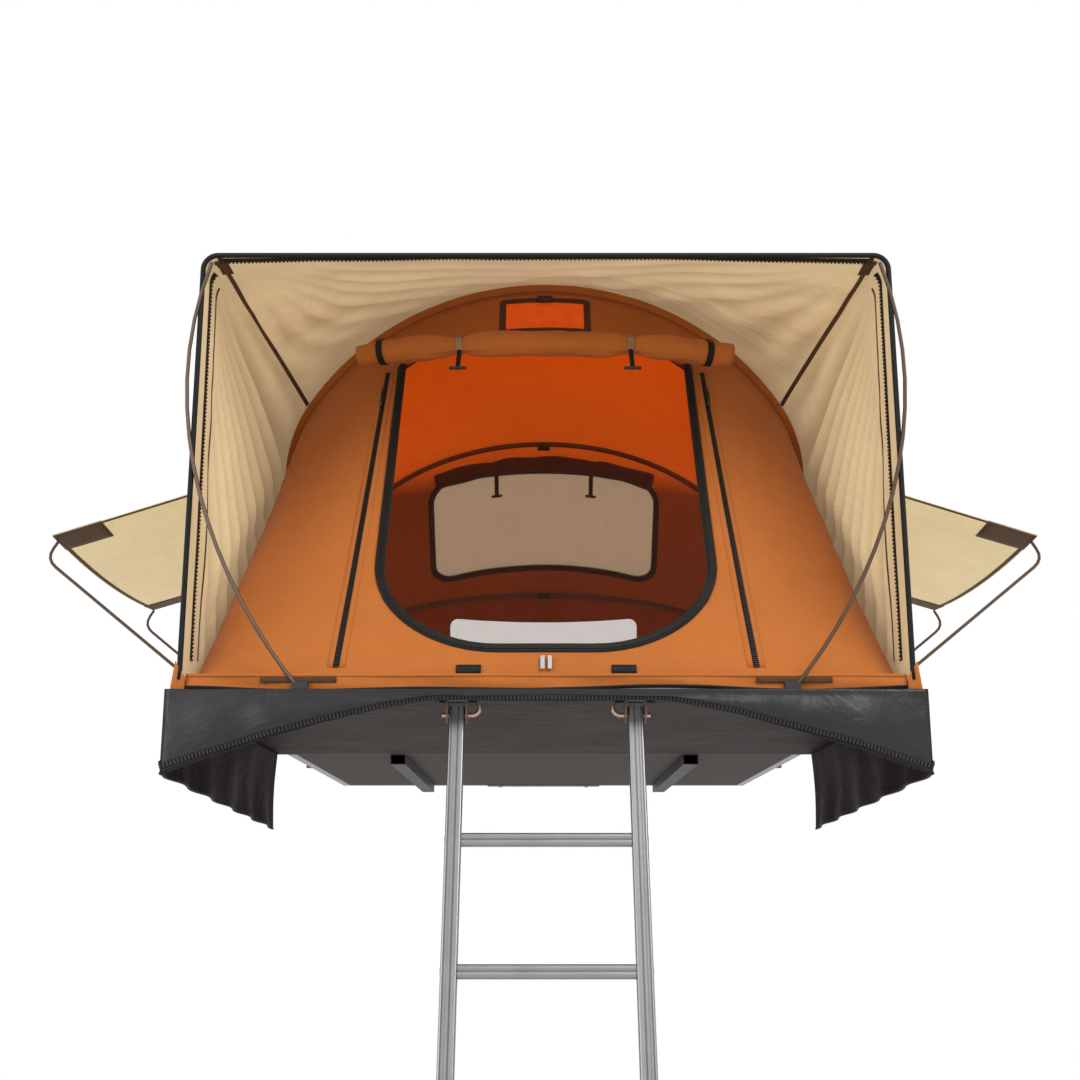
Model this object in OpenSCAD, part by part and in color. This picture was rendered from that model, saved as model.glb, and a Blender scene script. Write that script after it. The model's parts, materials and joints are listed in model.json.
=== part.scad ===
// Soft-shell roof top tent: a two-panel base that folds like a book on a raised hinge,
// with four hoops that fan out of the hinge and carry the canvas and the rainfly.

/* [Base] */
// Width of the base
tent_w = 1400; // [1200:10:1600]
// Length of each base panel, from the fold to its end
panel_len = 1200; // [1120:10:1300]
// Thickness of each base panel
panel_t = 28; // [20:1:40]
// Width of the edge extrusion round each panel
frame_w = 24; // [16:1:40]
// Height of the roof bar channels under the rear panel
channel_h = 25; // [18:1:40]
// Width of the roof bar channels
channel_w = 40; // [30:1:60]
// Wall of the roof bar channels
channel_wall = 3; // [2:0.5:5]
// Bolt spacing across the vehicle
bolt_gap_x = 800; // [600:10:1000]
// Bolt spacing along the vehicle
bolt_gap_y = 900; // [700:10:1000]
// Bolt hole in the roof bar channels
bolt_hole_d = 8.5; // [6.5:0.5:10.5]
// Thickness of the mattress
mattress_t = 58; // [40:1:70]

/* [Hoops] */
// Height of the fold pin above the panels
pivot_rise = 110; // [100:1:130]
// Diameter of the hoop tube
hoop_d = 16; // [12:1:18]
// Half width of the front hoop at its feet
hoop_half_w = 636; // [600:1:640]
// Step in half width from one hoop to the next
hoop_step = 18; // [18:0.5:22]
// Straight length of a hoop's leg
hoop_leg = 620; // [560:10:660]
// Radius of a hoop's shoulder
shoulder_r = 330; // [250:10:360]
// Reach of a hoop from the fold pin to its crown
hoop_reach = 1107; // [1080:1:1120]
// Angle of the low rear hoop above the rear panel
low_angle = 27; // [20:1:35]
// Angle of the rear hoop above the rear panel
rear_angle = 57; // [50:1:65]
// Angle of the front hoop above the rear panel
front_angle = 123; // [115:1:130]
// Diameter of the fold pin
pin_d = 10; // [8:0.5:12]

/* [Cloth] */
// Thickness of the cloth solids
cloth_t = 3; // [2:0.5:4]
// Gap between the canvas and the rainfly
fly_gap = 14; // [8:1:25]
// Width of the door opening
door_w = 690; // [500:10:760]
// Height of the door opening along the wall
door_h = 845; // [780:5:900]
// Radius of the door's lower corners
door_r = 250; // [150:10:300]
// Height of the door sill along the wall
door_sill = 80; // [60:5:110]
// Width of the binding round the door
binding_w = 26; // [18:1:34]
// Diameter of the rolled door
roll_d = 66; // [50:1:80]
// Length of the rolled door
roll_len = 880; // [820:10:900]

/* [Awnings] */
// Height of the front awning's edge above the panels
awning_h = 874; // [780:2:900]
// Reach of the side awnings from the middle
side_reach = 1215; // [1100:5:1300]
// Half length of the side awnings along the tent
side_half = 480; // [420:10:520]
// Height of the side awnings' outer edge above the panels
side_tip_h = 460; // [400:10:520]
// Height of the side awnings' inner edge above the panels
side_root_h = 630; // [580:10:680]
// Diameter of the spring rods
rod_d = 8; // [6:0.5:10]

/* [Cover] */
// Depth of the travel cover's corners below the panel
cover_drop = 150; // [120:5:200]
// Depth of the travel cover's side flaps at the fold
flap_drop = 200; // [150:5:240]

/* [Ladder] */
// Width of the ladder over its rails
ladder_w = 373; // [340:1:420]
// Width of a rail, seen from the front
rail_w = 30; // [24:1:36]
// Depth of a rail, front to back
rail_d = 24; // [18:1:30]
// Distance from rung to rung
rung_gap = 240; // [220:5:280]
// Length of the upper section
upper_len = 1300; // [1260:10:1400]
// Length of the lower section
lower_len = 1250; // [1220:10:1400]
// Length over which the two sections lie together
overlap = 420; // [380:10:460]
// Lean of the ladder from upright
ladder_lean = 17.8; // [12:0.1:24]
// Diameter of the ladder pins
ladder_pin_d = 8; // [6:0.5:10]

/* [Hidden] */
$fn = 48;

// Places of the base: the origin is the middle of the roof bolts, under the channels
fold_y = -panel_len / 2;
panel_z = channel_h;
deck_z = panel_z + panel_t;
pivot_z = deck_z + pivot_rise;
end_y = fold_y - panel_len;
half_w = tent_w / 2;
seat = 0.3;
run_fit = 0.05;
panel_gap = 4;

// Hoop half widths, each inside the one in front of it
low_half = hoop_half_w - 3 * hoop_step;
rear_half = hoop_half_w - 2 * hoop_step;
centre_half = hoop_half_w - hoop_step;
centre_angle = 90;
knuckle_w = 14;
knuckle_d = 26;
sleeve_len = 50;
sleeve_wall = 1.5;
tube_end = 2;
tube_turn = 0.4;
arc_fn = 300;

// Stack of plates on each fold pin, from the middle of the tent outwards
plate_t = 6;
plate_gap = 3;
inner_rear_x = low_half - knuckle_w / 2 - plate_gap - plate_t;
inner_front_x = inner_rear_x - plate_gap - plate_t;
outer_front_x = hoop_half_w + knuckle_w / 2 + plate_gap;
outer_rear_x = outer_front_x + plate_t + plate_gap;
plate_foot = 70;
plate_lead = 14;
foot_t = 5;
foot_w = 22;
pin_head_d = 18;
pin_head_t = 6;

// Cloth offsets from the hoop's centre line, where the cloth leaves a hoop at up to cloth_fall,
// with room for the straight runs between the points of its line
cloth_fall = 30;
line_sag = 2.6;
canvas_off = (hoop_d / 2 + sleeve_wall + seat) / cos(cloth_fall) + line_sag;
fly_off = canvas_off + cloth_t + fly_gap;
cloth_foot = 130;
edge_r = 60;
canvas_half = half_w - 12;
fly_half = half_w;
leg_steps = 3;
shoulder_steps = 4;
crown_steps = 12;

// Ladder places, along the ladder from its pin
ladder_half = ladder_w / 2;
ladder_pin_y = end_y + 40;
ladder_pin_z = panel_z - 34;
rail_x = ladder_half - rail_w / 2;
first_rung = 250;
rung_d = 26;
section_gap = 2;
lower_start = upper_len - overlap;
lower_y = rail_d + section_gap;
lower_first = first_rung + rung_gap * ceil((lower_start + 40 - first_rung) / rung_gap);

// Front wall: a plane from the front edge to the front hoop's crown carries the door
deck_inset = 12;
deck_len = panel_len - deck_inset;
cloth_z = deck_z + seat;
wall_base = [0, fold_y - deck_len, cloth_z];
wall_top = [0, fold_y + (hoop_reach + canvas_off) * cos(front_angle),
    pivot_z + (hoop_reach + canvas_off) * sin(front_angle)];
wall_rise = norm(wall_top - wall_base);
wall_slope = atan2(wall_top[2] - wall_base[2], wall_top[1] - wall_base[1]);
trim_t = 3;
trim_lift = cloth_t + seat;
roll_v = door_sill + door_h + roll_d / 2;
// How far the roll's flats lie inside its round
roll_flat = 0.75;
roll_w = roll_d / 2 - roll_flat + cloth_t + seat;
toggle_x = 200;
tie_pinch = 0.16;
roll_bow = 50;
roll_droop = 12;
pull_eye_d = 6;
pull_v = door_sill - binding_w;
pull_w = (trim_lift + trim_t - cloth_t) * sin(wall_slope) + pull_eye_d / 2 + 2 * seat;

// Rods, sockets, awnings and cover
rod_y = end_y - 9;
rod_foot_x = 468;
socket_w = 16;
awning_y = rod_y + rod_d / 2 + seat;
side_in_x = centre_half + fly_off + cloth_t + 3;
side_in_gain = 34;
pleat = 8;
rear_rod_y = fold_y + side_half - 12;
front_rod_y = fold_y - side_half + 32;
rod_rest = 1.7;
side_slack = 26;
cover_y = end_y - 24;
cover_x = half_w + 20;
cover_top = deck_z - 20;
cover_floor_z = panel_z - seat - cloth_t;

// Shape helpers

// A point on the half plane that turns about the fold pin
function polar(x, r, a) = [x, fold_y + r * cos(a), pivot_z + r * sin(a)];

// Height of the crown arc's centre, and where it meets the shoulder
function crown_c(hw) =
    let (cx = hw - shoulder_r, top = hoop_reach - shoulder_r)
    (top * top - cx * cx - hoop_leg * hoop_leg) / (2 * (top - hoop_leg));
function crown_angle(hw) = atan2(hoop_leg - crown_c(hw), hw - shoulder_r);
function arc_point(c, r, a) = [c[0] + r * cos(a), c[1] + r * sin(a)];

// Half of a hoop's line from its left foot to its crown, set off outwards by off
function hoop_left(hw, off) =
    let (b = crown_angle(hw), c = crown_c(hw))
    concat(
        [for (i = [0 : leg_steps]) [-(hw + off), cloth_foot + (hoop_leg - cloth_foot) * i / leg_steps]],
        [for (i = [1 : shoulder_steps])
            arc_point([-(hw - shoulder_r), hoop_leg], shoulder_r + off, 180 - b * i / shoulder_steps)],
        [for (i = [1 : crown_steps / 2])
            arc_point([0, c], hoop_reach - c + off, 180 - b - (90 - b) * i / (crown_steps / 2))]);

// Half of a squared line with as many points, from its left foot to its middle
function square_left(hw, len, foot, r) =
    concat(
        [for (i = [0 : leg_steps]) [-hw, foot + (len - r - foot) * i / leg_steps]],
        [for (i = [1 : shoulder_steps])
            arc_point([-(hw - r), len - r], r, 180 - 90 * i / shoulder_steps)],
        [for (i = [1 : crown_steps / 2]) [-(hw - r) * (1 - i / (crown_steps / 2)), len]]);

// A whole line from its left half
function whole(left) = concat(left, [for (i = [len(left) - 2 : -1 : 0]) [-left[i][0], left[i][1]]]);
function hoop_line(hw, off, a) = [for (p = whole(hoop_left(hw, off))) polar(p[0], p[1], a)];
function deck_line(hw, len, side, z) =
    [for (p = whole(square_left(hw, len, cloth_foot, edge_r))) [p[0], fold_y + side * p[1], z]];
function upright_line(hw, h, y, z) = [for (p = whole(square_left(hw, h, 0, edge_r))) [p[0], y, z + p[1]]];

// Rows of points from line a to line b, with folds that die out at both ends
function rows(a, b, steps, fold = 0) =
    [for (j = [0 : steps]) [for (i = [0 : len(a) - 1])
        let (t = j / steps, p = a[i] * (1 - t) + b[i] * t)
        p + [sign(p[0]) * fold * sin(180 * t) * cos(180 * i), 0, 0]]];

// A closed sheet between two grids of points, outer and inner
module sheet(outer, inner) {
    n = len(outer[0]);
    m = len(outer);
    size = n * m;
    points = concat([for (row = outer) each row], [for (row = inner) each row]);
    function at(j, i) = j * n + i;
    faces = concat(
        [for (j = [0 : m - 2], i = [0 : n - 2]) each [
            [at(j, i), at(j + 1, i), at(j + 1, i + 1)], [at(j, i), at(j + 1, i + 1), at(j, i + 1)],
            [size + at(j, i), size + at(j + 1, i + 1), size + at(j + 1, i)],
            [size + at(j, i), size + at(j, i + 1), size + at(j + 1, i + 1)]]],
        [for (i = [0 : n - 2]) each [
            [at(0, i), at(0, i + 1), size + at(0, i + 1)], [at(0, i), size + at(0, i + 1), size + at(0, i)],
            [at(m - 1, i), size + at(m - 1, i + 1), at(m - 1, i + 1)],
            [at(m - 1, i), size + at(m - 1, i), size + at(m - 1, i + 1)]]],
        [for (j = [0 : m - 2]) each [
            [at(j, 0), size + at(j, 0), size + at(j + 1, 0)], [at(j, 0), size + at(j + 1, 0), at(j + 1, 0)],
            [at(j, n - 1), size + at(j + 1, n - 1), size + at(j, n - 1)],
            [at(j, n - 1), at(j + 1, n - 1), size + at(j + 1, n - 1)]]]);
    polyhedron(points, faces, convexity = 8);
}

// A round tube through the points of a path, with a radius for each point
module tube(path, radii, up = [0, 1, 0], sides = 8) {
    n = len(path);
    function unit(v) = v / norm(v);
    function ring(i) =
        let (t = unit(path[min(i + 1, n - 1)] - path[max(i - 1, 0)]), a = unit(cross(t, up)), b = cross(a, t))
        [for (k = [0 : sides - 1]) path[i] + radii[i] * (a * cos(360 * k / sides) + b * sin(360 * k / sides))];
    faces = concat(
        [[for (k = [0 : sides - 1]) k], [for (k = [sides - 1 : -1 : 0]) (n - 1) * sides + k]],
        [for (i = [0 : n - 2], k = [0 : sides - 1]) let (l = (k + 1) % sides) each [
            [i * sides + k, (i + 1) * sides + k, (i + 1) * sides + l],
            [i * sides + k, (i + 1) * sides + l, i * sides + l]]]);
    polyhedron([for (i = [0 : n - 1]) each ring(i)], faces, convexity = 4);
}

module rod(path, d) {
    tube(path, [for (p = path) d / 2]);
}

// A point on the front wall, v up its slope and w out from it
function wall_point(x, v, w) = wall_base
    + [x, v * cos(wall_slope) - w * sin(wall_slope), v * sin(wall_slope) + w * cos(wall_slope)];

// The rolled door's line, straight in the middle and bent at its ends
function roll_bend(x) = pow(abs(2 * x / roll_len), 2.5);
function roll_point(x) = wall_point(x, roll_v, roll_w) + roll_bend(x) * [0, roll_bow, -roll_droop];

// A point on a cubic curve
function curve(p, t) =
    p[0] * pow(1 - t, 3) + 3 * p[1] * t * pow(1 - t, 2) + 3 * p[2] * t * t * (1 - t) + p[3] * pow(t, 3);

// An outline drawn across the tent, in Y and Z, as a plate of thickness t from x
module plate_at(x, t) {
    translate([x, 0, 0]) rotate([90, 0, 90]) linear_extrude(t) children();
}

module both_sides() {
    children();
    mirror([1, 0, 0]) children();
}

module on_wall() {
    translate(wall_base) rotate([wall_slope, 0, 0]) children();
}

module on_ladder() {
    translate([0, ladder_pin_y, ladder_pin_z]) rotate([-ladder_lean, 0, 0]) children();
}

// Base panels

module panel_core(side) {
    core_len = panel_len - panel_gap / 2 - 2 * frame_w;
    start = panel_gap / 2 + frame_w;
    y0 = side > 0 ? fold_y + start : fold_y - start - core_len;
    translate([frame_w - half_w, y0, panel_z]) cube([tent_w - 2 * frame_w, core_len, panel_t]);
}

module rear_panel() {
    color("#2b2422") panel_core(1);
}

module front_panel() {
    color("#2b2422") panel_core(-1);
}

// Edge extrusion: a closed ring with a round bead groove along its outer face
module panel_frame(side) {
    ring_len = panel_len - panel_gap / 2;
    y0 = side > 0 ? fold_y + panel_gap / 2 : fold_y - panel_len;
    far_y = side > 0 ? y0 + ring_len : y0;
    groove_d = 7;
    difference() {
        translate([-half_w, y0, panel_z]) cube([tent_w, ring_len, panel_t]);
        translate([frame_w - half_w, y0 + frame_w, panel_z - 1])
            cube([tent_w - 2 * frame_w, ring_len - 2 * frame_w, panel_t + 2]);
        translate([-half_w - 1, far_y, panel_z + panel_t * 0.75])
            rotate([0, 90, 0]) cylinder(d = groove_d, h = tent_w + 2);
    }
}

module rear_frame() {
    color("#8d8f92") panel_frame(1);
}

module front_frame() {
    color("#8d8f92") panel_frame(-1);
}

module roof_channels() {
    run = panel_len - 80;
    color("silver") for (sx = [-1, 1]) translate([sx * bolt_gap_x / 2, 0, 0]) difference() {
        translate([-channel_w / 2, -run / 2, 0]) cube([channel_w, run, channel_h]);
        translate([channel_wall - channel_w / 2, -run / 2 - 1, channel_wall])
            cube([channel_w - 2 * channel_wall, run + 2, channel_h]);
        for (sy = [-1, 1]) translate([0, sy * bolt_gap_y / 2, -1])
            cylinder(d = bolt_hole_d, h = channel_wall + 2);
    }
}

module rear_ladder_strip() {
    strip = [390, 40, 4];
    screw_gap = 150;
    color("silver") translate([0, panel_len / 2 - strip[1], panel_z - strip[2]]) {
        translate([-strip[0] / 2, 0, 0]) cube(strip);
        for (sx = [-1, 1]) translate([sx * screw_gap, strip[1] / 2, -3]) cylinder(d = 11, h = 3);
    }
}

// Fold hinge: plates on each panel, one pin a side
module hinge_plate(x, side, foot_side) {
    eye_r = 16;
    difference() {
        union() {
            translate([0, fold_y, pivot_z]) plate_at(x, plate_t) union() {
                circle(r = eye_r);
                polygon([[-side * eye_r * 0.9, 0], [side * plate_lead, -pivot_rise],
                    [side * (plate_lead + plate_foot), -pivot_rise], [side * eye_r * 0.9, eye_r * 0.4]]);
            }
            translate([foot_side > 0 ? x : x + plate_t - foot_w,
                side > 0 ? fold_y + plate_lead : fold_y - plate_lead - plate_foot, deck_z])
                cube([foot_w, plate_foot, foot_t]);
        }
        translate([x - 1, fold_y, pivot_z]) rotate([0, 90, 0])
            cylinder(d = pin_d + 2 * run_fit, h = plate_t + 2);
    }
}

module rear_hinge_plates() {
    color("#5b5d60") both_sides() {
        hinge_plate(inner_rear_x, 1, -1);
        hinge_plate(outer_rear_x, 1, 1);
    }
}

module front_hinge_plates() {
    color("#5b5d60") both_sides() {
        hinge_plate(inner_front_x, -1, -1);
        hinge_plate(outer_front_x, -1, -1);
    }
}

module fold_pins() {
    start = inner_front_x - seat;
    stop = outer_rear_x + plate_t + seat;
    color("silver") both_sides() translate([start, fold_y, pivot_z]) rotate([0, 90, 0]) {
        cylinder(d = pin_d, h = stop - start);
        translate([0, 0, -pin_head_t]) cylinder(d = pin_head_d, h = pin_head_t);
        translate([0, 0, stop - start]) cylinder(d = pin_head_d, h = pin_head_t);
    }
}

// Mattress halves, notched round the hinge plates
module mattress(side) {
    gap = 6;
    end_inset = 90;
    side_inset = 64;
    notch = plate_lead + plate_foot + 10;
    len_y = panel_len - gap - end_inset;
    y0 = side > 0 ? fold_y + gap : fold_y - panel_len + end_inset;
    notch_y = side > 0 ? fold_y : fold_y - notch;
    notch_x = inner_front_x - foot_w;
    difference() {
        translate([side_inset - half_w, y0, deck_z]) cube([tent_w - 2 * side_inset, len_y, mattress_t]);
        for (x = [notch_x, -half_w]) translate([x, notch_y, deck_z - 1])
            cube([half_w - notch_x, notch, mattress_t + 2]);
    }
}

module rear_mattress() {
    color("#b9b3a6") mattress(1);
}

module front_mattress() {
    color("#b9b3a6") mattress(-1);
}

// Hoops

// Sleeve over the joint of two lengths of tube, along direction a
module sleeve(x, y, a) {
    translate([x, y, 0]) rotate([0, 0, a]) rotate([0, 90, 0])
        translate([0, 0, -sleeve_len / 2]) cylinder(d = hoop_d + 2 * sleeve_wall, h = sleeve_len);
}

module hoop(hw, angle) {
    c = crown_c(hw);
    b = crown_angle(hw);
    leg_foot = pin_d / 2 + 4;
    crown_r = hoop_reach - c;
    translate([0, fold_y, pivot_z]) rotate([angle, 0, 0]) difference() {
        union() {
            for (sx = [-1, 1]) {
                translate([sx * hw - knuckle_w / 2, 0, 0]) rotate([0, 90, 0])
                    cylinder(d = knuckle_d, h = knuckle_w);
                translate([sx * hw, leg_foot, 0]) rotate([-90, 0, 0])
                    cylinder(d = hoop_d, h = hoop_leg - leg_foot - tube_end);
                translate([sx * (hw - shoulder_r), hoop_leg, 0])
                    rotate([0, 0, sx > 0 ? tube_turn : 180 - b + tube_turn])
                    rotate_extrude(angle = b - 2 * tube_turn, $fn = arc_fn)
                    translate([shoulder_r, 0]) circle(d = hoop_d);
                sleeve(sx * hw, hoop_leg, 90);
                sleeve(sx * crown_r * cos(b), c + crown_r * sin(b), sx * (b - 90));
            }
            translate([0, c, 0]) rotate([0, 0, b + tube_turn])
                rotate_extrude(angle = 180 - 2 * b - 2 * tube_turn, $fn = arc_fn)
                translate([crown_r, 0]) circle(d = hoop_d);
        }
        for (sx = [-1, 1]) translate([sx * hw - knuckle_w, 0, 0]) rotate([0, 90, 0])
            cylinder(d = pin_d + 2 * run_fit, h = 2 * knuckle_w);
    }
}

// Moulded clip that holds the cloth to a hoop's crown
module hoop_clip(hw, angle) {
    clip = [40, 18, hoop_d + 2];
    bow = 0.6;
    hug = hoop_d / 4;
    translate([0, fold_y, pivot_z]) rotate([angle, 0, 0]) difference() {
        translate([-clip[0] / 2, hoop_reach - clip[1] - hug, -clip[2] / 2]) cube(clip);
        translate([-clip[0], hoop_reach, 0]) rotate([0, 90, 0]) cylinder(d = hoop_d + 2 * bow, h = 2 * clip[0]);
    }
}

module low_hoop() {
    color("#6e6f72") hoop(low_half, low_angle);
}

module low_hoop_clip() {
    color("#202022") hoop_clip(low_half, low_angle);
}

module rear_hoop() {
    color("#6e6f72") hoop(rear_half, rear_angle);
}

module rear_hoop_clip() {
    color("#202022") hoop_clip(rear_half, rear_angle);
}

module centre_hoop() {
    color("#6e6f72") hoop(centre_half, centre_angle);
}

module centre_hoop_clip() {
    color("#202022") hoop_clip(centre_half, centre_angle);
}

module front_hoop() {
    color("#6e6f72") hoop(hoop_half_w, front_angle);
}

module front_hoop_clip() {
    color("#202022") hoop_clip(hoop_half_w, front_angle);
}

// Canvas: one sheet from hoop to hoop, and from the end hoops to the deck

// Sheet between two hoops, set off from their lines by off
module hoop_sheet(hw_a, angle_a, hw_b, angle_b, off) {
    sheet(rows(hoop_line(hw_b, off + cloth_t, angle_b), hoop_line(hw_a, off + cloth_t, angle_a), 3),
        rows(hoop_line(hw_b, off, angle_b), hoop_line(hw_a, off, angle_a), 3));
}

// Sheet from the low hoop down to the rear deck
module low_skin() {
    sheet(rows(hoop_line(low_half, canvas_off + cloth_t, low_angle), deck_line(canvas_half, deck_len, 1, cloth_z), 3),
        rows(hoop_line(low_half, canvas_off, low_angle),
            deck_line(canvas_half - cloth_t, deck_len - cloth_t, 1, cloth_z), 3));
}

// Sheet from the front hoop down to the front deck, lifted off the wall by lift, of thickness t
module front_skin(lift, t) {
    out = lift + t - cloth_t;
    in = lift - cloth_t;
    sheet(rows(deck_line(canvas_half + out, deck_len + out, -1, cloth_z),
            hoop_line(hoop_half_w, canvas_off + lift + t, front_angle), 6),
        rows(deck_line(canvas_half + in, deck_len + in, -1, cloth_z),
            hoop_line(hoop_half_w, canvas_off + lift, front_angle), 6));
}

// Outline of the door, grown by grow
module door_outline(grow = 0) {
    w = door_w + 2 * grow;
    r = door_r + grow;
    sill = door_sill - grow;
    translate([-w / 2, sill + r]) square([w, door_sill + door_h - sill - r]);
    translate([r - w / 2, sill]) square([w - 2 * r, r + 1]);
    for (sx = [-1, 1]) translate([sx * (w / 2 - r), sill + r]) circle(r = r);
}

// Outline of the vent over the rolled door, grown by grow
module vent_outline(grow = 0) {
    vent = [200, 70];
    crown_gap = 43;
    low = wall_rise - crown_gap - vent[1];
    translate([-vent[0] / 2 - grow, low - grow]) square([vent[0] + 2 * grow, vent[1] + 2 * grow]);
}

// What lies on the front wall within an outline
module wall_cut(depth = 300) {
    on_wall() translate([0, 0, -depth]) linear_extrude(depth + 60) children();
}

module front_wall() {
    color("#bf7433") difference() {
        front_skin(0, cloth_t);
        wall_cut() door_outline();
        wall_cut() vent_outline();
    }
}

module low_canvas() {
    window = [640, 165];
    window_z = 357;
    color("#bf7433") difference() {
        low_skin();
        translate([-window[0] / 2, fold_y + panel_len - 250, deck_z + window_z]) cube([window[0], 300, window[1]]);
    }
}

// Rear window, drawn on the chord between the low and rear hoops
module rear_window_cut(grow = 0, depth = 120) {
    window = [740, 370];
    mid = (low_angle + rear_angle) / 2;
    translate([0, fold_y, pivot_z]) rotate([mid, 0, 0]) translate([0, hoop_reach, 0])
        rotate([90, 0, 0]) translate([-window[0] / 2 - grow, -window[1] / 2 - grow, -depth])
        cube([window[0] + 2 * grow, window[1] + 2 * grow, 2 * depth + 100]);
}

module rear_canvas() {
    color("#bf7433") difference() {
        hoop_sheet(low_half, low_angle, rear_half, rear_angle, canvas_off);
        rear_window_cut();
    }
}

module rear_window_mesh() {
    color("#6b6257") intersection() {
        hoop_sheet(low_half, low_angle, rear_half, rear_angle, canvas_off);
        rear_window_cut(-seat);
    }
}

module back_roof_canvas() {
    color("#bf7433") hoop_sheet(rear_half, rear_angle, centre_half, centre_angle, canvas_off);
}

module front_roof_canvas() {
    color("#bf7433") hoop_sheet(centre_half, centre_angle, hoop_half_w, front_angle, canvas_off);
}

// Trim on the front wall

module vent_window() {
    color("#5a2f1c") intersection() {
        front_skin(0, cloth_t);
        wall_cut() vent_outline(-seat);
    }
}

module door_binding() {
    color("#161617") intersection() {
        front_skin(trim_lift, trim_t);
        wall_cut() difference() {
            door_outline(binding_w);
            door_outline();
        }
    }
}

// Zip lines of the rolled door, from its ends down to the sill
module door_zips() {
    top_x = door_w / 2 + binding_w + 8;
    foot_x = door_w / 2 + binding_w + 36;
    zip_w = 9;
    low_v = 30;
    top_v = roll_v - roll_d / 2 - 4;
    color("#161617") for (sx = [-1, 1]) intersection() {
        front_skin(trim_lift, trim_t);
        wall_cut() polygon([[sx * top_x, top_v], [sx * (top_x + zip_w), top_v],
            [sx * (foot_x + zip_w), low_v], [sx * foot_x, low_v]]);
    }
}

module hook_tabs() {
    tab = [48, 20];
    tab_x = 150;
    tab_v = 18;
    color("#161617") for (sx = [-1, 1]) intersection() {
        front_skin(trim_lift, trim_t);
        wall_cut() translate([sx * tab_x - tab[0] / 2, tab_v]) square(tab);
    }
}

// Rolled door: drawn in where its ties hold it, its ends drawn back round the hoop
module door_roll() {
    stations = 40;
    tie_run = 45;
    end_slack = 0.1;
    function pinch(x, at) = exp(-pow((x - at) / tie_run, 2));
    function radius(x) = roll_d / 2
        * (1 - tie_pinch * (pinch(x, -toggle_x) + pinch(x, toggle_x)) - end_slack * roll_bend(x));
    line = [for (i = [0 : stations]) roll_len * (i / stations - 0.5)];
    color("#bf7433") tube([for (x = line) roll_point(x)], [for (x = line) radius(x)], sides = 12);
}

// Straps with cross bars that hang from the roll, a little off the wall
module roll_toggles() {
    strap = [10, 66, 3];
    bar = [38, 8, 6];
    tie_r = roll_d / 2 * (1 - tie_pinch);
    color("#161617") for (sx = [-1, 1]) translate(roll_point(sx * toggle_x)) rotate([wall_slope, 0, 0])
        translate([0, -tie_r - seat - strap[1], 0]) {
            translate([-strap[0] / 2, 0, -strap[2] / 2]) cube(strap);
            translate([-bar[0] / 2, -bar[1], -bar[2] / 2]) cube(bar);
        }
}

// Strip of canvas that hangs over the front edge of the deck
module front_valance() {
    top = 26;
    half = canvas_half;
    n = 28;
    function grid(y) = [for (z = [deck_z + seat, deck_z + top])
        [for (i = [0 : n]) [half * (2 * i / n - 1), y - 1.5 * (1 + cos(360 * 4 * i / n)), z]]];
    color("#c98a4b") sheet(grid(end_y - cloth_t), grid(end_y));
}

// Zip pulls at the middle of the sill
module zip_pull(sx) {
    pull = [8, 30, 3];
    pull_x = 7;
    on_wall() translate([sx * pull_x, pull_v, pull_w]) {
        translate([-pull[0] / 2, -pull[1], -pull[2] / 2]) cube(pull);
        translate([-pull[0] / 2, 0, 0]) rotate([0, 90, 0]) cylinder(d = pull_eye_d, h = pull[0]);
    }
}

module left_zip_pull() {
    color("silver") zip_pull(-1);
}

module right_zip_pull() {
    color("silver") zip_pull(1);
}

// Rainfly and awnings

module rear_fly() {
    color("#d8c391") hoop_sheet(low_half, low_angle, rear_half, rear_angle, fly_off);
}

module back_roof_fly() {
    color("#d8c391") hoop_sheet(rear_half, rear_angle, centre_half, centre_angle, fly_off);
}

module front_roof_fly() {
    color("#d8c391") hoop_sheet(centre_half, centre_angle, hoop_half_w, front_angle, fly_off);
}

module front_awning() {
    steps = 8;
    color("#d8c391") sheet(
        rows(upright_line(fly_half, awning_h, awning_y, cloth_z),
            hoop_line(hoop_half_w, fly_off + cloth_t, front_angle), steps, pleat),
        rows(upright_line(fly_half - cloth_t, awning_h - cloth_t, awning_y, cloth_z),
            hoop_line(hoop_half_w, fly_off, front_angle), steps, pleat));
}

// How far a side awning hangs below its straight line, t of the way out and v along it
function side_sag(t, v) = side_slack * (1 - v * v) * sin(120 * t);

// Side awning: a slack sheet from the rainfly out to two rod ends
module side_awning(sx) {
    n = 10;
    m = 6;
    function inner_x(v) = side_in_x + max(0, -v) * side_in_gain;
    function point(t, v) = [
        sx * (inner_x(v) * (1 - t) + side_reach * t),
        fold_y + side_half * v,
        deck_z + side_root_h * (1 - t) + side_tip_h * t - side_sag(t, v)];
    function grid(lift) = [for (j = [0 : m])
        [for (i = [0 : n]) point(j / m, sx * (1 - 2 * i / n)) + [0, 0, lift]]];
    sheet(grid(cloth_t), grid(0));
}

module left_awning() {
    color("#d8c391") side_awning(-1);
}

module right_awning() {
    color("#d8c391") side_awning(1);
}

// Front rod: from its socket out past the awning's edge and back to the top corner
module front_rods() {
    steps = 16;
    reach_x = fly_half - edge_r * 0.3;
    top_z = cloth_z + awning_h - edge_r * 0.3;
    foot_z = deck_z - 20;
    path = [[rod_foot_x, rod_y, foot_z], [rod_foot_x + 172, rod_y, foot_z + 200],
        [half_w + 90, rod_y, foot_z + 540], [reach_x, rod_y, top_z]];
    color("#4a3524") both_sides() rod([for (i = [0 : steps]) curve(path, i / steps)], rod_d);
}

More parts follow.
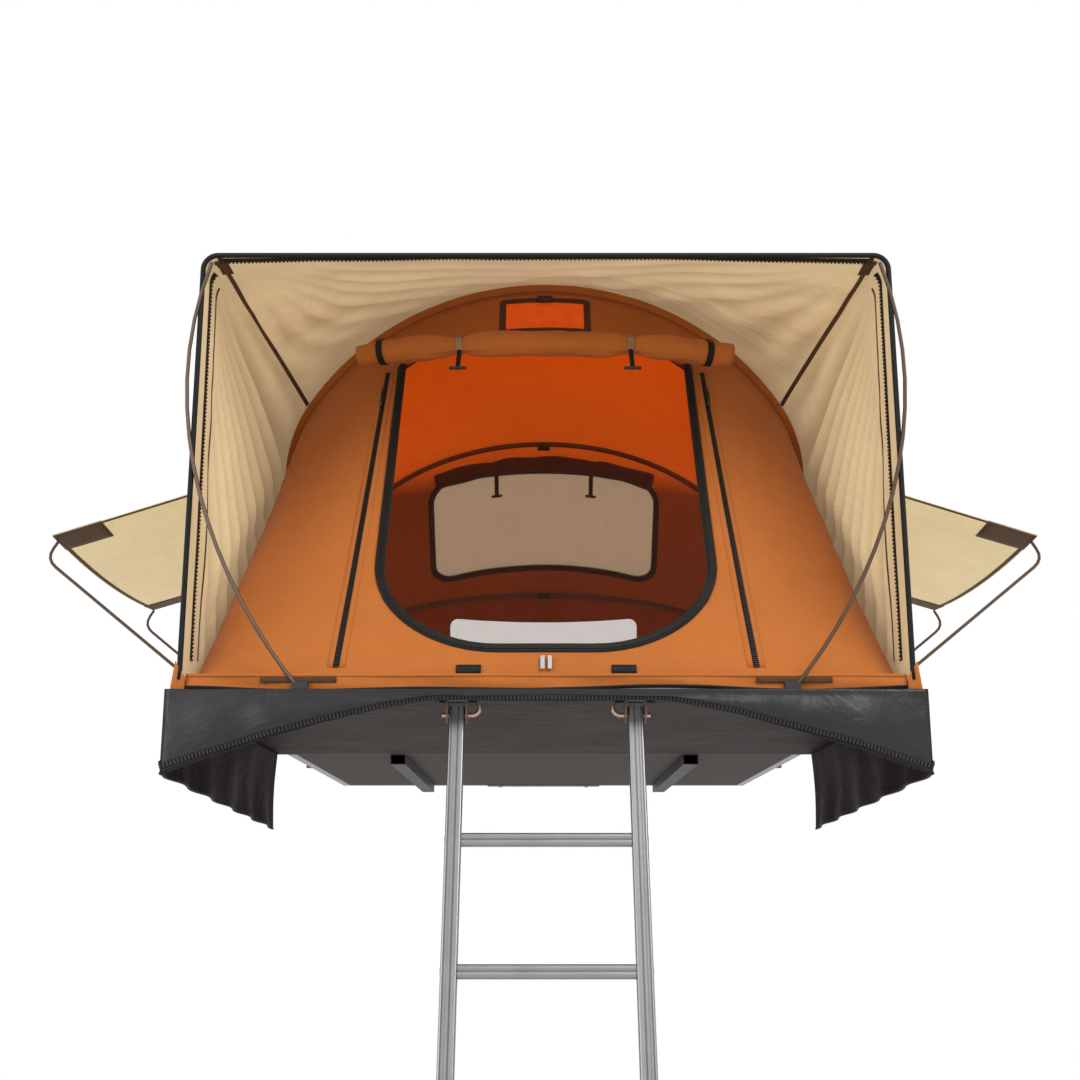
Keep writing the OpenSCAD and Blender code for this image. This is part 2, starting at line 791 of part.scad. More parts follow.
// Side rod: straight out of its socket, then bent up and in under the awning's corner
module side_rods(y) {
    foot = [half_w + socket_w / 2, y, deck_z - 14];
    knee = [side_reach + 22, y, deck_z + side_tip_h - 50];
    tip = [side_reach - 6, y, deck_z + side_tip_h - side_sag(1, (y - fold_y) / side_half) - rod_rest];
    bend = [for (i = [0 : 4]) let (t = i / 4)
        (foot * 0.05 + knee * 0.95) * pow(1 - t, 2) + knee * 2 * t * (1 - t) + (knee * 0.4 + tip * 0.6) * t * t];
    both_sides() rod(concat([foot, foot * 0.5 + knee * 0.5], bend, [tip]), rod_d);
}

module rear_side_rods() {
    color("#4a3524") side_rods(rear_rod_y);
}

module front_side_rods() {
    color("#4a3524") side_rods(front_rod_y);
}

// Moulded socket on a panel's edge, drilled along its rod
module side_sockets(y) {
    block = [socket_w, 26, 24];
    run = side_reach + 22 - half_w - socket_w / 2;
    rise = side_tip_h - 50 + 14;
    both_sides() difference() {
        translate([half_w, y - block[1] / 2, panel_z + 1]) cube(block);
        translate([half_w + socket_w / 2, y, deck_z - 14]) rotate([0, atan2(run, rise), 0])
            translate([0, 0, -2]) cylinder(d = rod_d + 2 * run_fit, h = 60);
    }
}

module rear_rod_sockets() {
    color("#202022") side_sockets(rear_rod_y);
}

module front_rod_sockets() {
    block = [30, socket_w, 22];
    lean = atan2(172, 200);
    color("#202022") {
        side_sockets(front_rod_y);
        both_sides() difference() {
            translate([rod_foot_x - block[0] / 2, end_y - block[1], panel_z + 1]) cube(block);
            translate([rod_foot_x, rod_y, deck_z - 20]) rotate([0, lean, 0])
                translate([0, 0, -2]) cylinder(d = rod_d + 2 * run_fit, h = 60);
        }
    }
}

// Travel cover: it stays on the front panel, its walls hanging open below the edges

// Share of the way from a flap's hem up to the floor that it is sewn to
function below_floor(z, hem) = min(1, (z - hem) / (cover_floor_z - hem));

module cover_floor() {
    cut = [rail_w + 44, 80];
    sewn = cloth_t / 2;
    difference() {
        translate([-cover_x - sewn, cover_y - sewn, cover_floor_z])
            cube([2 * (cover_x + sewn), fold_y - 15 - cover_y + sewn, cloth_t]);
        for (sx = [-1, 1]) translate([sx * rail_x - cut[0] / 2, end_y - 1, panel_z - 10]) cube([cut[0], cut[1], 20]);
    }
}

// Front apron, drawn up in the middle to clear the ladder
module cover_apron() {
    n = 28;
    m = 3;
    clear = 0.3;
    function drop(u) = 10 + (cover_drop - 10) * pow(max(0, (abs(u) - clear) / (1 - clear)), 1.3);
    function point(u, t, lift) =
        let (hem = panel_z - drop(u), z = hem * (1 - t) + cover_top * t)
        [(cover_x + lift) * u, cover_y - lift - 12 * sin(180 * below_floor(z, hem)) * abs(u), z];
    function grid(lift) = [for (j = [0 : m]) [for (i = [0 : n]) point(2 * i / n - 1, j / m, lift)]];
    sheet(grid(cloth_t), grid(0));
}

// Side flap, deeper towards the fold
module cover_flap() {
    n = 10;
    m = 3;
    run = fold_y - 15 - cover_y;
    function point(u, t, lift) =
        let (hem = panel_z - cover_drop - (flap_drop - cover_drop) * u, z = hem * (1 - t) + cover_top * t)
        [cover_x + lift + 10 * sin(180 * below_floor(z, hem)) * (0.4 + 0.6 * sin(360 * 1.5 * u)),
            cover_y + run * u, z];
    function grid(lift) = [for (j = [0 : m]) [for (i = [0 : n]) point(i / n, j / m, lift)]];
    sheet(grid(cloth_t), grid(0));
}

module travel_cover() {
    color("#1d1c1d") {
        cover_floor();
        cover_apron();
        both_sides() cover_flap();
    }
}

// Ladder

module ladder_brackets() {
    ear_t = 4;
    ear_gap = 2;
    depth = 44;
    low = ladder_pin_z - 14;
    color("#6a5a52") for (sx = [-1, 1]) translate([sx * rail_x, ladder_pin_y, 0]) difference() {
        union() {
            translate([-rail_w / 2 - ear_gap - ear_t, -depth / 2, panel_z - ear_t])
                cube([rail_w + 2 * ear_gap + 2 * ear_t, depth, ear_t]);
            for (x = [-rail_w / 2 - ear_gap - ear_t, rail_w / 2 + ear_gap]) {
                translate([x, -depth / 2, ladder_pin_z]) cube([ear_t, depth, panel_z - ladder_pin_z]);
                translate([x, 0, ladder_pin_z]) rotate([0, 90, 0]) cylinder(d = 28, h = ear_t);
                translate([x, -14, low + 13]) cube([ear_t, 28, 2]);
            }
        }
        translate([-rail_w, 0, ladder_pin_z]) rotate([0, 90, 0])
            cylinder(d = ladder_pin_d + 2 * run_fit, h = 2 * rail_w);
    }
}

// Bent pin, its handle towards the middle
module ladder_pin() {
    reach = rail_w / 2 + 14;
    bend_r = 14;
    handle = 8;
    translate([rail_x, ladder_pin_y, ladder_pin_z]) {
        translate([-reach, 0, 0]) rotate([0, 90, 0]) cylinder(d = ladder_pin_d, h = 2 * reach);
        translate([-reach, 0, bend_r]) rotate([90, 0, 0]) rotate([0, 0, 180])
            rotate_extrude(angle = 90) translate([bend_r, 0]) circle(d = ladder_pin_d);
        translate([-reach - bend_r, 0, bend_r]) cylinder(d = ladder_pin_d, h = handle);
    }
}

module left_ladder_pin() {
    color("#c9a08a") mirror([1, 0, 0]) ladder_pin();
}

module right_ladder_pin() {
    color("#c9a08a") ladder_pin();
}

// Rail section: a rounded box with a groove down its front and back
module rail_section() {
    r = 4;
    groove = [10, 3];
    difference() {
        union() {
            translate([-rail_w / 2 + r, -rail_d / 2]) square([rail_w - 2 * r, rail_d]);
            translate([-rail_w / 2, -rail_d / 2 + r]) square([rail_w, rail_d - 2 * r]);
            for (sx = [-1, 1], sy = [-1, 1]) translate([sx * (rail_w / 2 - r), sy * (rail_d / 2 - r)]) circle(r = r);
        }
        for (sy = [-1, 1]) translate([-groove[0] / 2, sy * rail_d / 2 - groove[1]]) square([groove[0], 2 * groove[1]]);
    }
}

module upper_rails() {
    head = 13;
    color("silver") on_ladder() for (sx = [-1, 1]) translate([sx * rail_x, 0, 0]) difference() {
        translate([0, 0, -upper_len]) linear_extrude(upper_len + head) rail_section();
        translate([-rail_w, 0, 0]) rotate([0, 90, 0]) cylinder(d = ladder_pin_d + 2 * run_fit, h = 2 * rail_w);
    }
}

// Rung section: two beads with a hollow between them
module rungs(first, last, y) {
    inner = ladder_w - 2 * rail_w;
    bead = 15;
    on_ladder() for (d = [first : rung_gap : last]) translate([-inner / 2, y, -d]) rotate([90, 0, 90])
        linear_extrude(inner) {
            for (s = [-1, 1]) translate([0, s * (rung_d - bead) / 2]) circle(d = bead);
            translate([-5, -rung_d / 4]) square([10, rung_d / 2]);
        }
}

module upper_rungs() {
    color("silver") rungs(first_rung, upper_len - 60, 0);
}

// Guides at the foot of the upper section that wrap the lower rails
module ladder_guides() {
    wall = 3;
    h = 40;
    slack = 0.5;
    color("#202022") on_ladder() for (sx = [-1, 1]) mirror([sx < 0 ? 1 : 0, 0, 0])
        translate([rail_x, 0, 10 - upper_len]) linear_extrude(h) difference() {
            translate([-rail_w / 2, -rail_d / 2 + 6]) square([rail_w + wall, lower_y + rail_d - 6 + slack + wall]);
            translate([-rail_w, -rail_d / 2 - 1]) square([1.5 * rail_w, rail_d + 1]);
            translate([-rail_w, rail_d / 2 - 1]) square([1.5 * rail_w + slack, lower_y + slack + 1]);
        }
}

module lower_rails() {
    color("silver") on_ladder() for (sx = [-1, 1]) translate([sx * rail_x, lower_y, -lower_start - lower_len])
        linear_extrude(lower_len) rail_section();
}

module lower_rungs() {
    color("silver") rungs(lower_first, lower_start + lower_len - 60, lower_y);
}

module ladder_feet() {
    wall = 3;
    pocket = 34;
    sole = 12;
    color("#202022") on_ladder() for (sx = [-1, 1])
        translate([sx * rail_x, lower_y, -lower_start - lower_len - sole]) difference() {
            translate([-rail_w / 2 - wall, -rail_d / 2 - wall, 0])
                cube([rail_w + 2 * wall, rail_d + 2 * wall, sole + pocket]);
            translate([-rail_w / 2, -rail_d / 2, sole]) cube([rail_w, rail_d, pocket + 1]);
        }
}

rear_panel();
rear_frame();
roof_channels();
rear_hinge_plates();
fold_pins();
rear_mattress();
rear_ladder_strip();
rear_side_rods();
rear_rod_sockets();
low_hoop();
low_hoop_clip();
rear_hoop();
rear_hoop_clip();
centre_hoop();
centre_hoop_clip();
front_hoop();
front_hoop_clip();
low_canvas();
rear_canvas();
back_roof_canvas();
front_roof_canvas();
front_wall();
rear_window_mesh();
vent_window();
door_binding();
door_roll();
roll_toggles();
door_zips();
hook_tabs();
front_valance();
rear_fly();
back_roof_fly();
front_roof_fly();
front_awning();
left_awning();
right_awning();
front_panel();
front_frame();
front_hinge_plates();
front_mattress();
travel_cover();
front_rods();
front_side_rods();
front_rod_sockets();
ladder_brackets();
left_ladder_pin();
right_ladder_pin();
upper_rails();
upper_rungs();
ladder_guides();
lower_rails();
lower_rungs();
ladder_feet();
left_zip_pull();
right_zip_pull();
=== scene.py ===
"""Dresses the frame of a soft-shell roof top tent: canvas, rainfly, awnings, cover and fittings."""

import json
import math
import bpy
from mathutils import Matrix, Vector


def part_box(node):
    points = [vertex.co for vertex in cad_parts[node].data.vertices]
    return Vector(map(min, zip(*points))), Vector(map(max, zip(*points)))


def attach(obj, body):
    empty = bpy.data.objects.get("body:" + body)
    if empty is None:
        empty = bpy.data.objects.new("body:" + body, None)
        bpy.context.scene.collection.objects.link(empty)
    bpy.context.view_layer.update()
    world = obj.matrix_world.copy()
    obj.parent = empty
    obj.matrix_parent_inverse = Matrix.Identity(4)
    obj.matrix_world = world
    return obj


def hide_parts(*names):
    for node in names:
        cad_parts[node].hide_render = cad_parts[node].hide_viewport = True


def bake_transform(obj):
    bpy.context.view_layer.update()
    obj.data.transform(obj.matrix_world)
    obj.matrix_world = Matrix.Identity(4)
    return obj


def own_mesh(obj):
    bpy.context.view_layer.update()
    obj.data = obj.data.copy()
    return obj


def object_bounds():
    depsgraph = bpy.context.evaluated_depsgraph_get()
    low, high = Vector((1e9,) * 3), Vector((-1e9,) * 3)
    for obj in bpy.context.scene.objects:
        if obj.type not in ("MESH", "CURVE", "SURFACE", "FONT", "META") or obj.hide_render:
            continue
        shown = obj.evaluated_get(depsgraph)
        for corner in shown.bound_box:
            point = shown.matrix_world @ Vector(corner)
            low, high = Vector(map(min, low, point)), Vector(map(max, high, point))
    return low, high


bl_info = {
    "name": "Roof Top Tent Dresser",
    "version": (1, 0, 0),
    "blender": (4, 5, 0),
    "location": "View3D > Sidebar > Tent",
    "description": "Sews the cloth of a roof top tent round its folding frame",
    "category": "Object",
}

import bpy
import bmesh
import numpy as np
from mathutils import Vector, noise
from mathutils.bvhtree import BVHTree

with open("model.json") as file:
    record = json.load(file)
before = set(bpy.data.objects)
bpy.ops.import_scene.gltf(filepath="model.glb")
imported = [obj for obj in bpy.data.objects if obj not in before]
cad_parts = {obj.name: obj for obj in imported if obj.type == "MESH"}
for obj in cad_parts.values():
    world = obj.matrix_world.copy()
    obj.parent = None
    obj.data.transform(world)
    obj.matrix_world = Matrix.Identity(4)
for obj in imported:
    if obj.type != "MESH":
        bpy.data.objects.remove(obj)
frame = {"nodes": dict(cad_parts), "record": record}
CAD_LOW, CAD_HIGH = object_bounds()

# Places of the frame, in metres, as the solids have them
FOLD_Y, PIVOT_Z, DECK_Z = -0.6, 0.163, 0.0533
HALF_W, END_Y = 0.7, -1.8
REACH, LEG_LEN, SHOULDER_R = 1.107, 0.62, 0.33
HOOPS = {"low": (0.582, 27), "rear": (0.600, 57), "centre": (0.618, 90), "front": (0.636, 123)}
FRONT_AHEAD = (0, -0.839, -0.545)  # square to the front hoop
FOLD_PIN = (0, FOLD_Y, PIVOT_Z)
CANVAS_OFF, FLY_OFF = 0.0154, 0.0324
CANVAS_HALF, DECK_LEN = 0.688, 1.188
WALL_BASE, WALL_SLOPE = np.array([0.0, -1.788, 0.0533]), math.radians(61.184)
WALL_UP = np.array([0.0, math.cos(WALL_SLOPE), math.sin(WALL_SLOPE)])
WALL_OUT = np.array([0.0, -math.sin(WALL_SLOPE), math.cos(WALL_SLOPE)])
WALL = (WALL_BASE, WALL_UP, WALL_OUT)
INSIDE = (0.0, FOLD_Y, 0.4)
SIDES = ((-1, "left"), (1, "right"))
UP = (0, 0, 1)

# Points along a hoop: up a leg, round a shoulder, over the crown, and back down
LEG, SHOULDER, HALF_CROWN = 20, 14, 30
LAST = 2 * (LEG + SHOULDER + HALF_CROWN)
SEAMS = (LEG + SHOULDER, LAST - LEG - SHOULDER)
FOOT = 0.04
FLARE_HALF, FLARE_SHARE, FLARE_TOP, FLARE_RUN = 0.679, 0.65, 0.24, 0.1

# The two bodies that each width of cloth is sewn to
SPANS = {
    "low": ("rear_base", "low_bow"),
    "rear": ("low_bow", "rear_bow"),
    "back_roof": ("rear_bow", "centre_bow"),
    "front_roof": ("centre_bow", "front_bow"),
    "front_wall": ("front_bow", "front_base"),
}
# Where cloth between a base and a hoop begins and ends to turn
TURNS = {
    "low": ((0.0, 0.621, 0.277), (0.0, 0.532, 0.642)),
    "front_wall": ((0.0, -1.22, 1.097), (0.0, -1.607, 0.188)),
}
TURN_FROM, TURN_TO = 0.08, 0.92  # the same for cloth between two hoops, as shares of its length

# Bands on the cloth: width, thickness, finish and crest; the door's width is a setting
BANDS = {
    "canvas_seam": (0.016, 0.0008, "canvas", 0.0),
    "fly_seam": (0.02, 0.001, "fly", 0.0),
    "sleeve": (0.021, 0.0014, "canvas", 0.001),
    "window_inside": (0.022, 0.0015, "tape", 0.0006),
    "window_outside": (0.024, 0.0015, "brown", 0.0006),
    "flap_tie": (0.014, 0.002, "tape", 0.0),
    "door_edge": (None, 0.0022, "tape", 0.0015),
    "door_back": (None, 0.0015, "tape", 0.0),
    "vent_rim": (0.016, 0.0016, "brown", 0.001),
    "storm_strip": (0.036, 0.001, "canvas", 0.0),
    "door_zip": (0.012, 0.0014, "tape", 0.0),
    "sill_tab": (0.02, 0.0022, "tape", 0.0012),
    "rod_slit": (0.011, 0.0008, "brown", 0.0006),
    "roll_end": (0.015, 0.002, "tape", 0.0),
    "roll_tie": (0.016, 0.002, "tan", 0.0),
    "toggle_strap": (0.011, 0.002, "tape", 0.0006),
    "awning_seam": (0.01, 0.0012, "brown", 0.0006),
    "awning_patch": (0.024, 0.0009, "brown", 0.0),
    "awning_line": (0.007, 0.0009, "brown", 0.0),
    "awning_zip": (0.014, 0.001, "tape", 0.0),
    "side_hem": (0.01, 0.001, "brown", 0.0),
    "cover_zip": (0.012, 0.001, "tape", 0.0),
}
LIFT = 0.0008  # of a band above the middle of its cloth
# Zip teeth: rise over their line, pitch, size along, across and out, and finish
TEETH = {
    "door_edge": (0.0042, 0.005, (0.0026, 0.009, 0.002), "zip"),
    "door_zip": (0.0032, 0.0055, (0.003, 0.0085, 0.0024), "zip"),
    "awning_zip": (0.0028, 0.008, (0.004, 0.017, 0.002), "zip"),
    "cover_zip": (0.0018, 0.007, (0.0035, 0.008, 0.0022), "plastic"),
}
# Stitches, screws and rivets, by size along, across and out
DOOR_STITCH, TAB_STITCH = (0.0045, 0.0011, 0.0008), (0.003, 0.001, 0.0008)
SCREW, RIVET = (0.009, 0.009, 0.0024), (0.011, 0.011, 0.0022)
# Small turned bars: places along their length, and radii
BARS = {
    "flap": ((-0.02, -0.015, 0.015, 0.02), (0.002, 0.005, 0.005, 0.002)),
    "vent": ((-0.02, -0.015, 0.015, 0.02), (0.003, 0.009, 0.009, 0.003)),
    "slider": ((0.93, 0.91, 0.885, 0.855), (0.003, 0.006, 0.005, 0.003)),
    "toggle": (
        (-0.02, -0.018, -0.006, 0, 0.006, 0.018, 0.02),
        (0.002, 0.0042, 0.0035, 0.0052, 0.0035, 0.0042, 0.002),
    ),
}
# Openings in the canvas: low and high corner on their wall, and the corners' radius
WINDOW = ((-0.37, -0.185), (0.37, 0.185), 0.07)
SLIT = ((-0.32, 0.4103), (0.32, 0.5753), 0.03)
VENT = ((-0.1025, 1.052), (0.1025, 1.164), 0.004)
# Nets behind them: low and high corner, finish, and the CAD node each stands for
NETS = {
    "rear_window_net": ((-0.375, -0.19), (0.375, 0.19), "rear_screen", "rear_window_mesh"),
    "low_net": ((-0.325, 0.405), (0.325, 0.58), "rear_screen"),
    "vent_net": ((-0.108, 1.046), (0.108, 1.17), "vent", "vent_window"),
}
TINY = 1e-9
WHOLE_TURN = 2 * math.pi


def paint(code):
    """A colour written as hex, as linear light."""
    parts = [int(code[i : i + 2], 16) / 255 for i in (1, 3, 5)]
    return tuple(c / 12.92 if c <= 0.04045 else ((c + 0.055) / 1.055) ** 2.4 for c in parts)


def smooth(x):
    x = np.clip(x, 0, 1)
    return x * x * (3 - 2 * x)


def unit(v):
    return v / np.maximum(np.linalg.norm(v, axis=-1, keepdims=True), TINY)


def run(line):
    """Distance along a line of points."""
    return np.concatenate([[0], np.cumsum(np.linalg.norm(np.diff(line, axis=0), axis=1))])


def repeat(vector, count):
    return np.repeat(np.array([vector], float), count, 0)


# Lines of the cloth


def whole(left):
    left = np.array(left, float)
    return np.vstack([left, left[-2::-1] * [-1, 1]])


def arc(centre, r, a):
    return [centre[0] + r * math.cos(a), centre[1] + r * math.sin(a)]


def hoop_outline(half, off):
    """A hoop's line from foot to foot, as width and reach, set off outwards."""
    top, cx = REACH - SHOULDER_R, half - SHOULDER_R
    c = (top**2 - cx**2 - LEG_LEN**2) / (2 * (top - LEG_LEN))
    b = math.atan2(LEG_LEN - c, cx)
    wide = max(0.0, FLARE_HALF + FLARE_SHARE * (off - CANVAS_OFF) - half - off)
    left = []
    for i in range(LEG + 1):
        r = FOOT + (LEG_LEN - FOOT) * i / LEG
        left.append([-(half + off + wide * float(smooth((FLARE_TOP - r) / FLARE_RUN))), r])
    for i in range(1, SHOULDER + 1):
        left.append(arc((-cx, LEG_LEN), SHOULDER_R + off, math.pi - b * i / SHOULDER))
    for i in range(1, HALF_CROWN + 1):
        left.append(arc((0, c), REACH - c + off, math.pi - b - (math.pi / 2 - b) * i / HALF_CROWN))
    return whole(left)


def squared_outline(half, length, foot, r):
    """A squared line with as many points as a hoop's."""
    left = [[-half, foot + (length - r - foot) * i / LEG] for i in range(LEG + 1)]
    for i in range(1, SHOULDER + 1):
        left.append(arc((-(half - r), length - r), r, math.pi - math.pi / 2 * i / SHOULDER))
    for i in range(1, HALF_CROWN + 1):
        left.append([-(half - r) * (1 - i / HALF_CROWN), length])
    return whole(left)


def crown(hoop, r=REACH):
    """Places at reaches from the pivot in a hoop's plane, as y and z."""
    a = math.radians(HOOPS[hoop][1])
    return FOLD_Y + r * math.cos(a), PIVOT_Z + r * math.sin(a)


def hoop_line(hoop, off):
    flat = hoop_outline(HOOPS[hoop][0], off)
    return np.stack([flat[:, 0], *crown(hoop, flat[:, 1])], 1)


def deck_line(side):
    flat = squared_outline(CANVAS_HALF, DECK_LEN, FOOT, 0.06)
    return np.stack([flat[:, 0], FOLD_Y + side * flat[:, 1], np.full(len(flat), DECK_Z)], 1)


def upright_line(half, height, y, z):
    flat = squared_outline(half, height, 0.0, 0.03)
    return np.stack([flat[:, 0], np.full(len(flat), y), z + flat[:, 1]], 1)


def loft(a, b, rows):
    t = np.linspace(0, 1, rows)[:, None, None]
    return a[None] * (1 - t) + b[None] * t


def grid_normals(grid, inside):
    """Unit normals of a grid of points, turned away from a point inside."""
    n = unit(np.cross(np.gradient(grid, axis=0), np.gradient(grid, axis=1)))
    return -n if (n * (grid - np.array(inside))).sum() < 0 else n


def lengths(grid):
    """Distance along the rows and down the columns, in metres."""
    u = np.cumsum(np.linalg.norm(np.diff(grid, axis=1, prepend=grid[:, :1]), axis=2), axis=1)
    v = np.cumsum(np.linalg.norm(np.diff(grid, axis=0, prepend=grid[:1]), axis=2), axis=0)
    return u - u[:, -1:] / 2, v


def rumple(u, v, size_u, size_v, seed):
    """Soft noise, as wide as size_u and size_v."""
    flat = [
        noise.noise(Vector((x / size_u + 17.3 * seed, y / size_v - 9.1 * seed, 3.7 * seed)))
        for x, y in zip(u.ravel(), v.ravel())
    ]
    return np.array(flat).reshape(u.shape)


def ridge(n):
    """Noise turned into sharp creases with soft valleys."""
    return 1 - np.abs(n) * 2.2


def pulls(u, v, at, count, reach, seed):
    """Folds that fan out from a point where the cloth is held."""
    du, dv = u - at[0], v - at[1]
    far = np.hypot(du, dv)
    wave = np.sin(count * np.arctan2(dv, du) + 2.5 * rumple(du, dv, 0.35, 0.35, seed))
    return wave * np.exp(-far / reach) * smooth(far / (0.35 * reach))


# Meshes


def put(name, mesh):
    obj = bpy.data.objects.new(name, mesh)
    bpy.context.scene.collection.objects.link(obj)
    return obj


def drop(obj):
    mesh = obj.data
    bpy.data.objects.remove(obj)
    bpy.data.meshes.remove(mesh)


def mesh_of(name, points, faces, uv=None, kinds=None, finishes=(), soft=True):
    """A mesh from points and faces, with a UV for each point and a finish number for each face."""
    mesh = bpy.data.meshes.new(name)
    mesh.from_pydata([tuple(p) for p in points], [], [tuple(int(k) for k in f) for f in faces])
    if uv is not None:
        layer = mesh.uv_layers.new(name="UVMap")
        corner = np.zeros(len(mesh.loops), int)
        mesh.loops.foreach_get("vertex_index", corner)
        layer.data.foreach_set("uv", np.asarray(uv, np.float32)[corner].ravel())
    for finish in finishes:
        mesh.materials.append(finish)
    if kinds is not None:
        mesh.polygons.foreach_set("material_index", np.asarray(kinds, np.int32))
    mesh.polygons.foreach_set("use_smooth", [soft] * len(mesh.polygons))
    mesh.update()
    return put(name, mesh)


def quads(m, n):
    """The faces of a grid with m rows of n points."""
    j, i = np.meshgrid(np.arange(m - 1), np.arange(n - 1), indexing="ij")
    a = (j * n + i).ravel()
    return np.stack([a, a + n, a + n + 1, a + 1], 1)


TURNED = [0, 3, 2, 1]  # a face seen from its back, with the same diagonal


def sheet(name, grid, inside, finishes, thick=0.0012):
    """A closed sheet of cloth on a grid of points: outside, inside and hems."""
    m, n = grid.shape[:2]
    normal, size = grid_normals(grid, inside), m * n
    points = np.vstack([(grid + normal * k).reshape(-1, 3) for k in (thick / 2, -thick / 2)])
    uv = np.vstack([np.stack(lengths(grid), 2).reshape(-1, 2)] * 2)
    out = quads(m, n)
    at = points[out]
    flat = np.cross(at[:, 1] - at[:, 0], at[:, 3] - at[:, 0])
    if (flat * normal.reshape(-1, 3)[out[:, 0]]).sum() < 0:
        out = out[:, ::-1]
    loop = (
        [k for k in range(n)]
        + [k * n + n - 1 for k in range(1, m)]
        + [(m - 1) * n + k for k in range(n - 2, -1, -1)]
        + [k * n for k in range(m - 2, 0, -1)]
    )
    pairs = {(int(f[k]), int(f[(k + 1) % 4])) for f in out for k in range(4)}
    edges = []
    for p, q in zip(loop, loop[1:] + loop[:1]):
        if (p, q) in pairs:
            p, q = q, p
        edges.append([p, q, q + size, p + size])
    faces = np.vstack([out, (out + size)[:, TURNED], np.array(edges)])
    kinds = [0] * len(out) + [min(1, len(finishes) - 1)] * len(out) + [0] * len(edges)
    return mesh_of(name, points, faces, uv, kinds, [FINISH[f] for f in finishes])


def mark_folds(obj, lift):
    """How deep each point of a sheet lies in a fold, from 0 to 1, as seen from its own side; it
    sets the painted shade in the folds.
    """
    deep = np.concatenate([np.clip(0.5 + k * lift, 0, 1).ravel() for k in (-0.5, 0.5)])
    layer = obj.data.attributes.new("fold", "FLOAT", "POINT")
    layer.data.foreach_set("value", deep.astype(np.float32))


def rings(name, points, across, along, finish, closed=False):
    """A closed mesh through rings of points, its ends capped or joined to each other."""
    m, k = points.shape[:2]
    faces = []
    for j in range(m if closed else m - 1):
        q = (j + 1) % m
        for i in range(k):
            faces.append((j * k + i, q * k + i, q * k + (i + 1) % k, j * k + (i + 1) % k))
    if not closed:
        faces += [tuple(range(k)), tuple((m - 1) * k + i for i in range(k - 1, -1, -1))]
    uv = np.stack(np.broadcast_arrays(across[None], along[:, None]), 2).reshape(-1, 2)
    obj = mesh_of(name, points.reshape(-1, 3), faces, uv, None, [FINISH[finish]])
    face_out(obj)
    return obj


def ribbon(points, normals, kind, closed=False, name="ribbon", width=None):
    """A flat band along a line that lies on a surface, with a crest across its width."""
    usual, thick, finish, crest = BANDS[kind]
    width = width or usual
    p, n = np.asarray(points, float), np.asarray(normals, float)
    t = np.roll(p, -1, 0) - np.roll(p, 1, 0) if closed else np.gradient(p, axis=0)
    side = unit(np.cross(n, unit(t)))
    shape = [(-0.5, 0), (-0.5, 0.75), (-0.3, 1), (0, 1), (0.3, 1), (0.5, 0.75), (0.5, 0)]
    lines = []
    for x, h in shape:
        rise = thick * h + crest * (1 - (2 * x) ** 2) * (h > 0)
        lines.append(p + side * (width * x) + n * rise)
    across = np.array([x * width for x, _ in shape])
    return rings(name, np.stack(lines, 1), across, run(p), finish, closed)


def cross_axes(path, up):
    """Two directions square to a path, at each of its points."""
    t = unit(np.gradient(path, axis=0))
    a = unit(np.cross(t, np.array(up, float)))
    return a, np.cross(a, t)


def swept(path, radii, a, b, turn):
    """Rings of points round a path."""
    cos, sin = np.cos(turn)[None, :, None], np.sin(turn)[None, :, None]
    return path[:, None] + radii[..., None] * (a[:, None] * cos + b[:, None] * sin)


def full_turn(sides):
    return np.linspace(0, WHOLE_TURN, sides, endpoint=False)


def tube(points, radii, finish, sides=12, up=UP, name="tube"):
    """A round bar through points, closed at both ends."""
    p, turn = np.asarray(points, float), full_turn(sides)
    r = np.broadcast_to(np.asarray(radii, float), (len(p),))
    ring = swept(p, r[:, None], *cross_axes(p, up), turn)
    return rings(name, ring, turn * float(r.mean()), run(p), finish)


def face_out(obj):
    """Turns the faces of a closed mesh outwards."""
    shape = bmesh.new()
    shape.from_mesh(obj.data)
    bmesh.ops.remove_doubles(shape, verts=shape.verts, dist=1e-6)
    bmesh.ops.recalc_face_normals(shape, faces=shape.faces)
    shape.to_mesh(obj.data)
    shape.free()
    obj.data.update()


def join(name, pieces):
    """Several pieces sewn into one object."""
    shape, finishes = bmesh.new(), []
    for piece in pieces:
        start = len(shape.faces)
        shape.from_mesh(piece.data)
        shape.faces.ensure_lookup_table()
        table = []
        for finish in piece.data.materials:
            if finish not in finishes:
                finishes.append(finish)
            table.append(finishes.index(finish))
        for face in shape.faces[start:]:
            face.material_index = table[face.material_index]
    mesh = bpy.data.meshes.new(name)
    shape.to_mesh(mesh)
    shape.free()
    for finish in finishes:
        mesh.materials.append(finish)
    for piece in pieces:
        drop(piece)
    return put(name, mesh)


def settle(obj):
    """Makes an object's modifiers part of its mesh."""
    graph = bpy.context.evaluated_depsgraph_get()
    mesh = bpy.data.meshes.new_from_object(
        obj.evaluated_get(graph), preserve_all_data_layers=True, depsgraph=graph
    )
    old = obj.data
    obj.modifiers.clear()
    obj.data = mesh
    mesh.name = obj.name
    bpy.data.meshes.remove(old)


def cut(obj, points, direction, before, after):
    """Cuts an opening with the outline points, pushed from before to after along a direction."""
    p, d = np.asarray(points, float), np.asarray(direction, float)
    k = len(p)
    faces = [tuple(range(k)), tuple(range(2 * k - 1, k - 1, -1))]
    faces += [(i, (i + 1) % k, k + (i + 1) % k, k + i) for i in range(k)]
    tool = mesh_of("cutter", np.vstack([p + d * before, p + d * after]), faces, soft=False)
    face_out(tool)
    mod = obj.modifiers.new("opening", "BOOLEAN")
    mod.operation, mod.solver, mod.object = "DIFFERENCE", "EXACT", tool
    settle(obj)
    drop(tool)


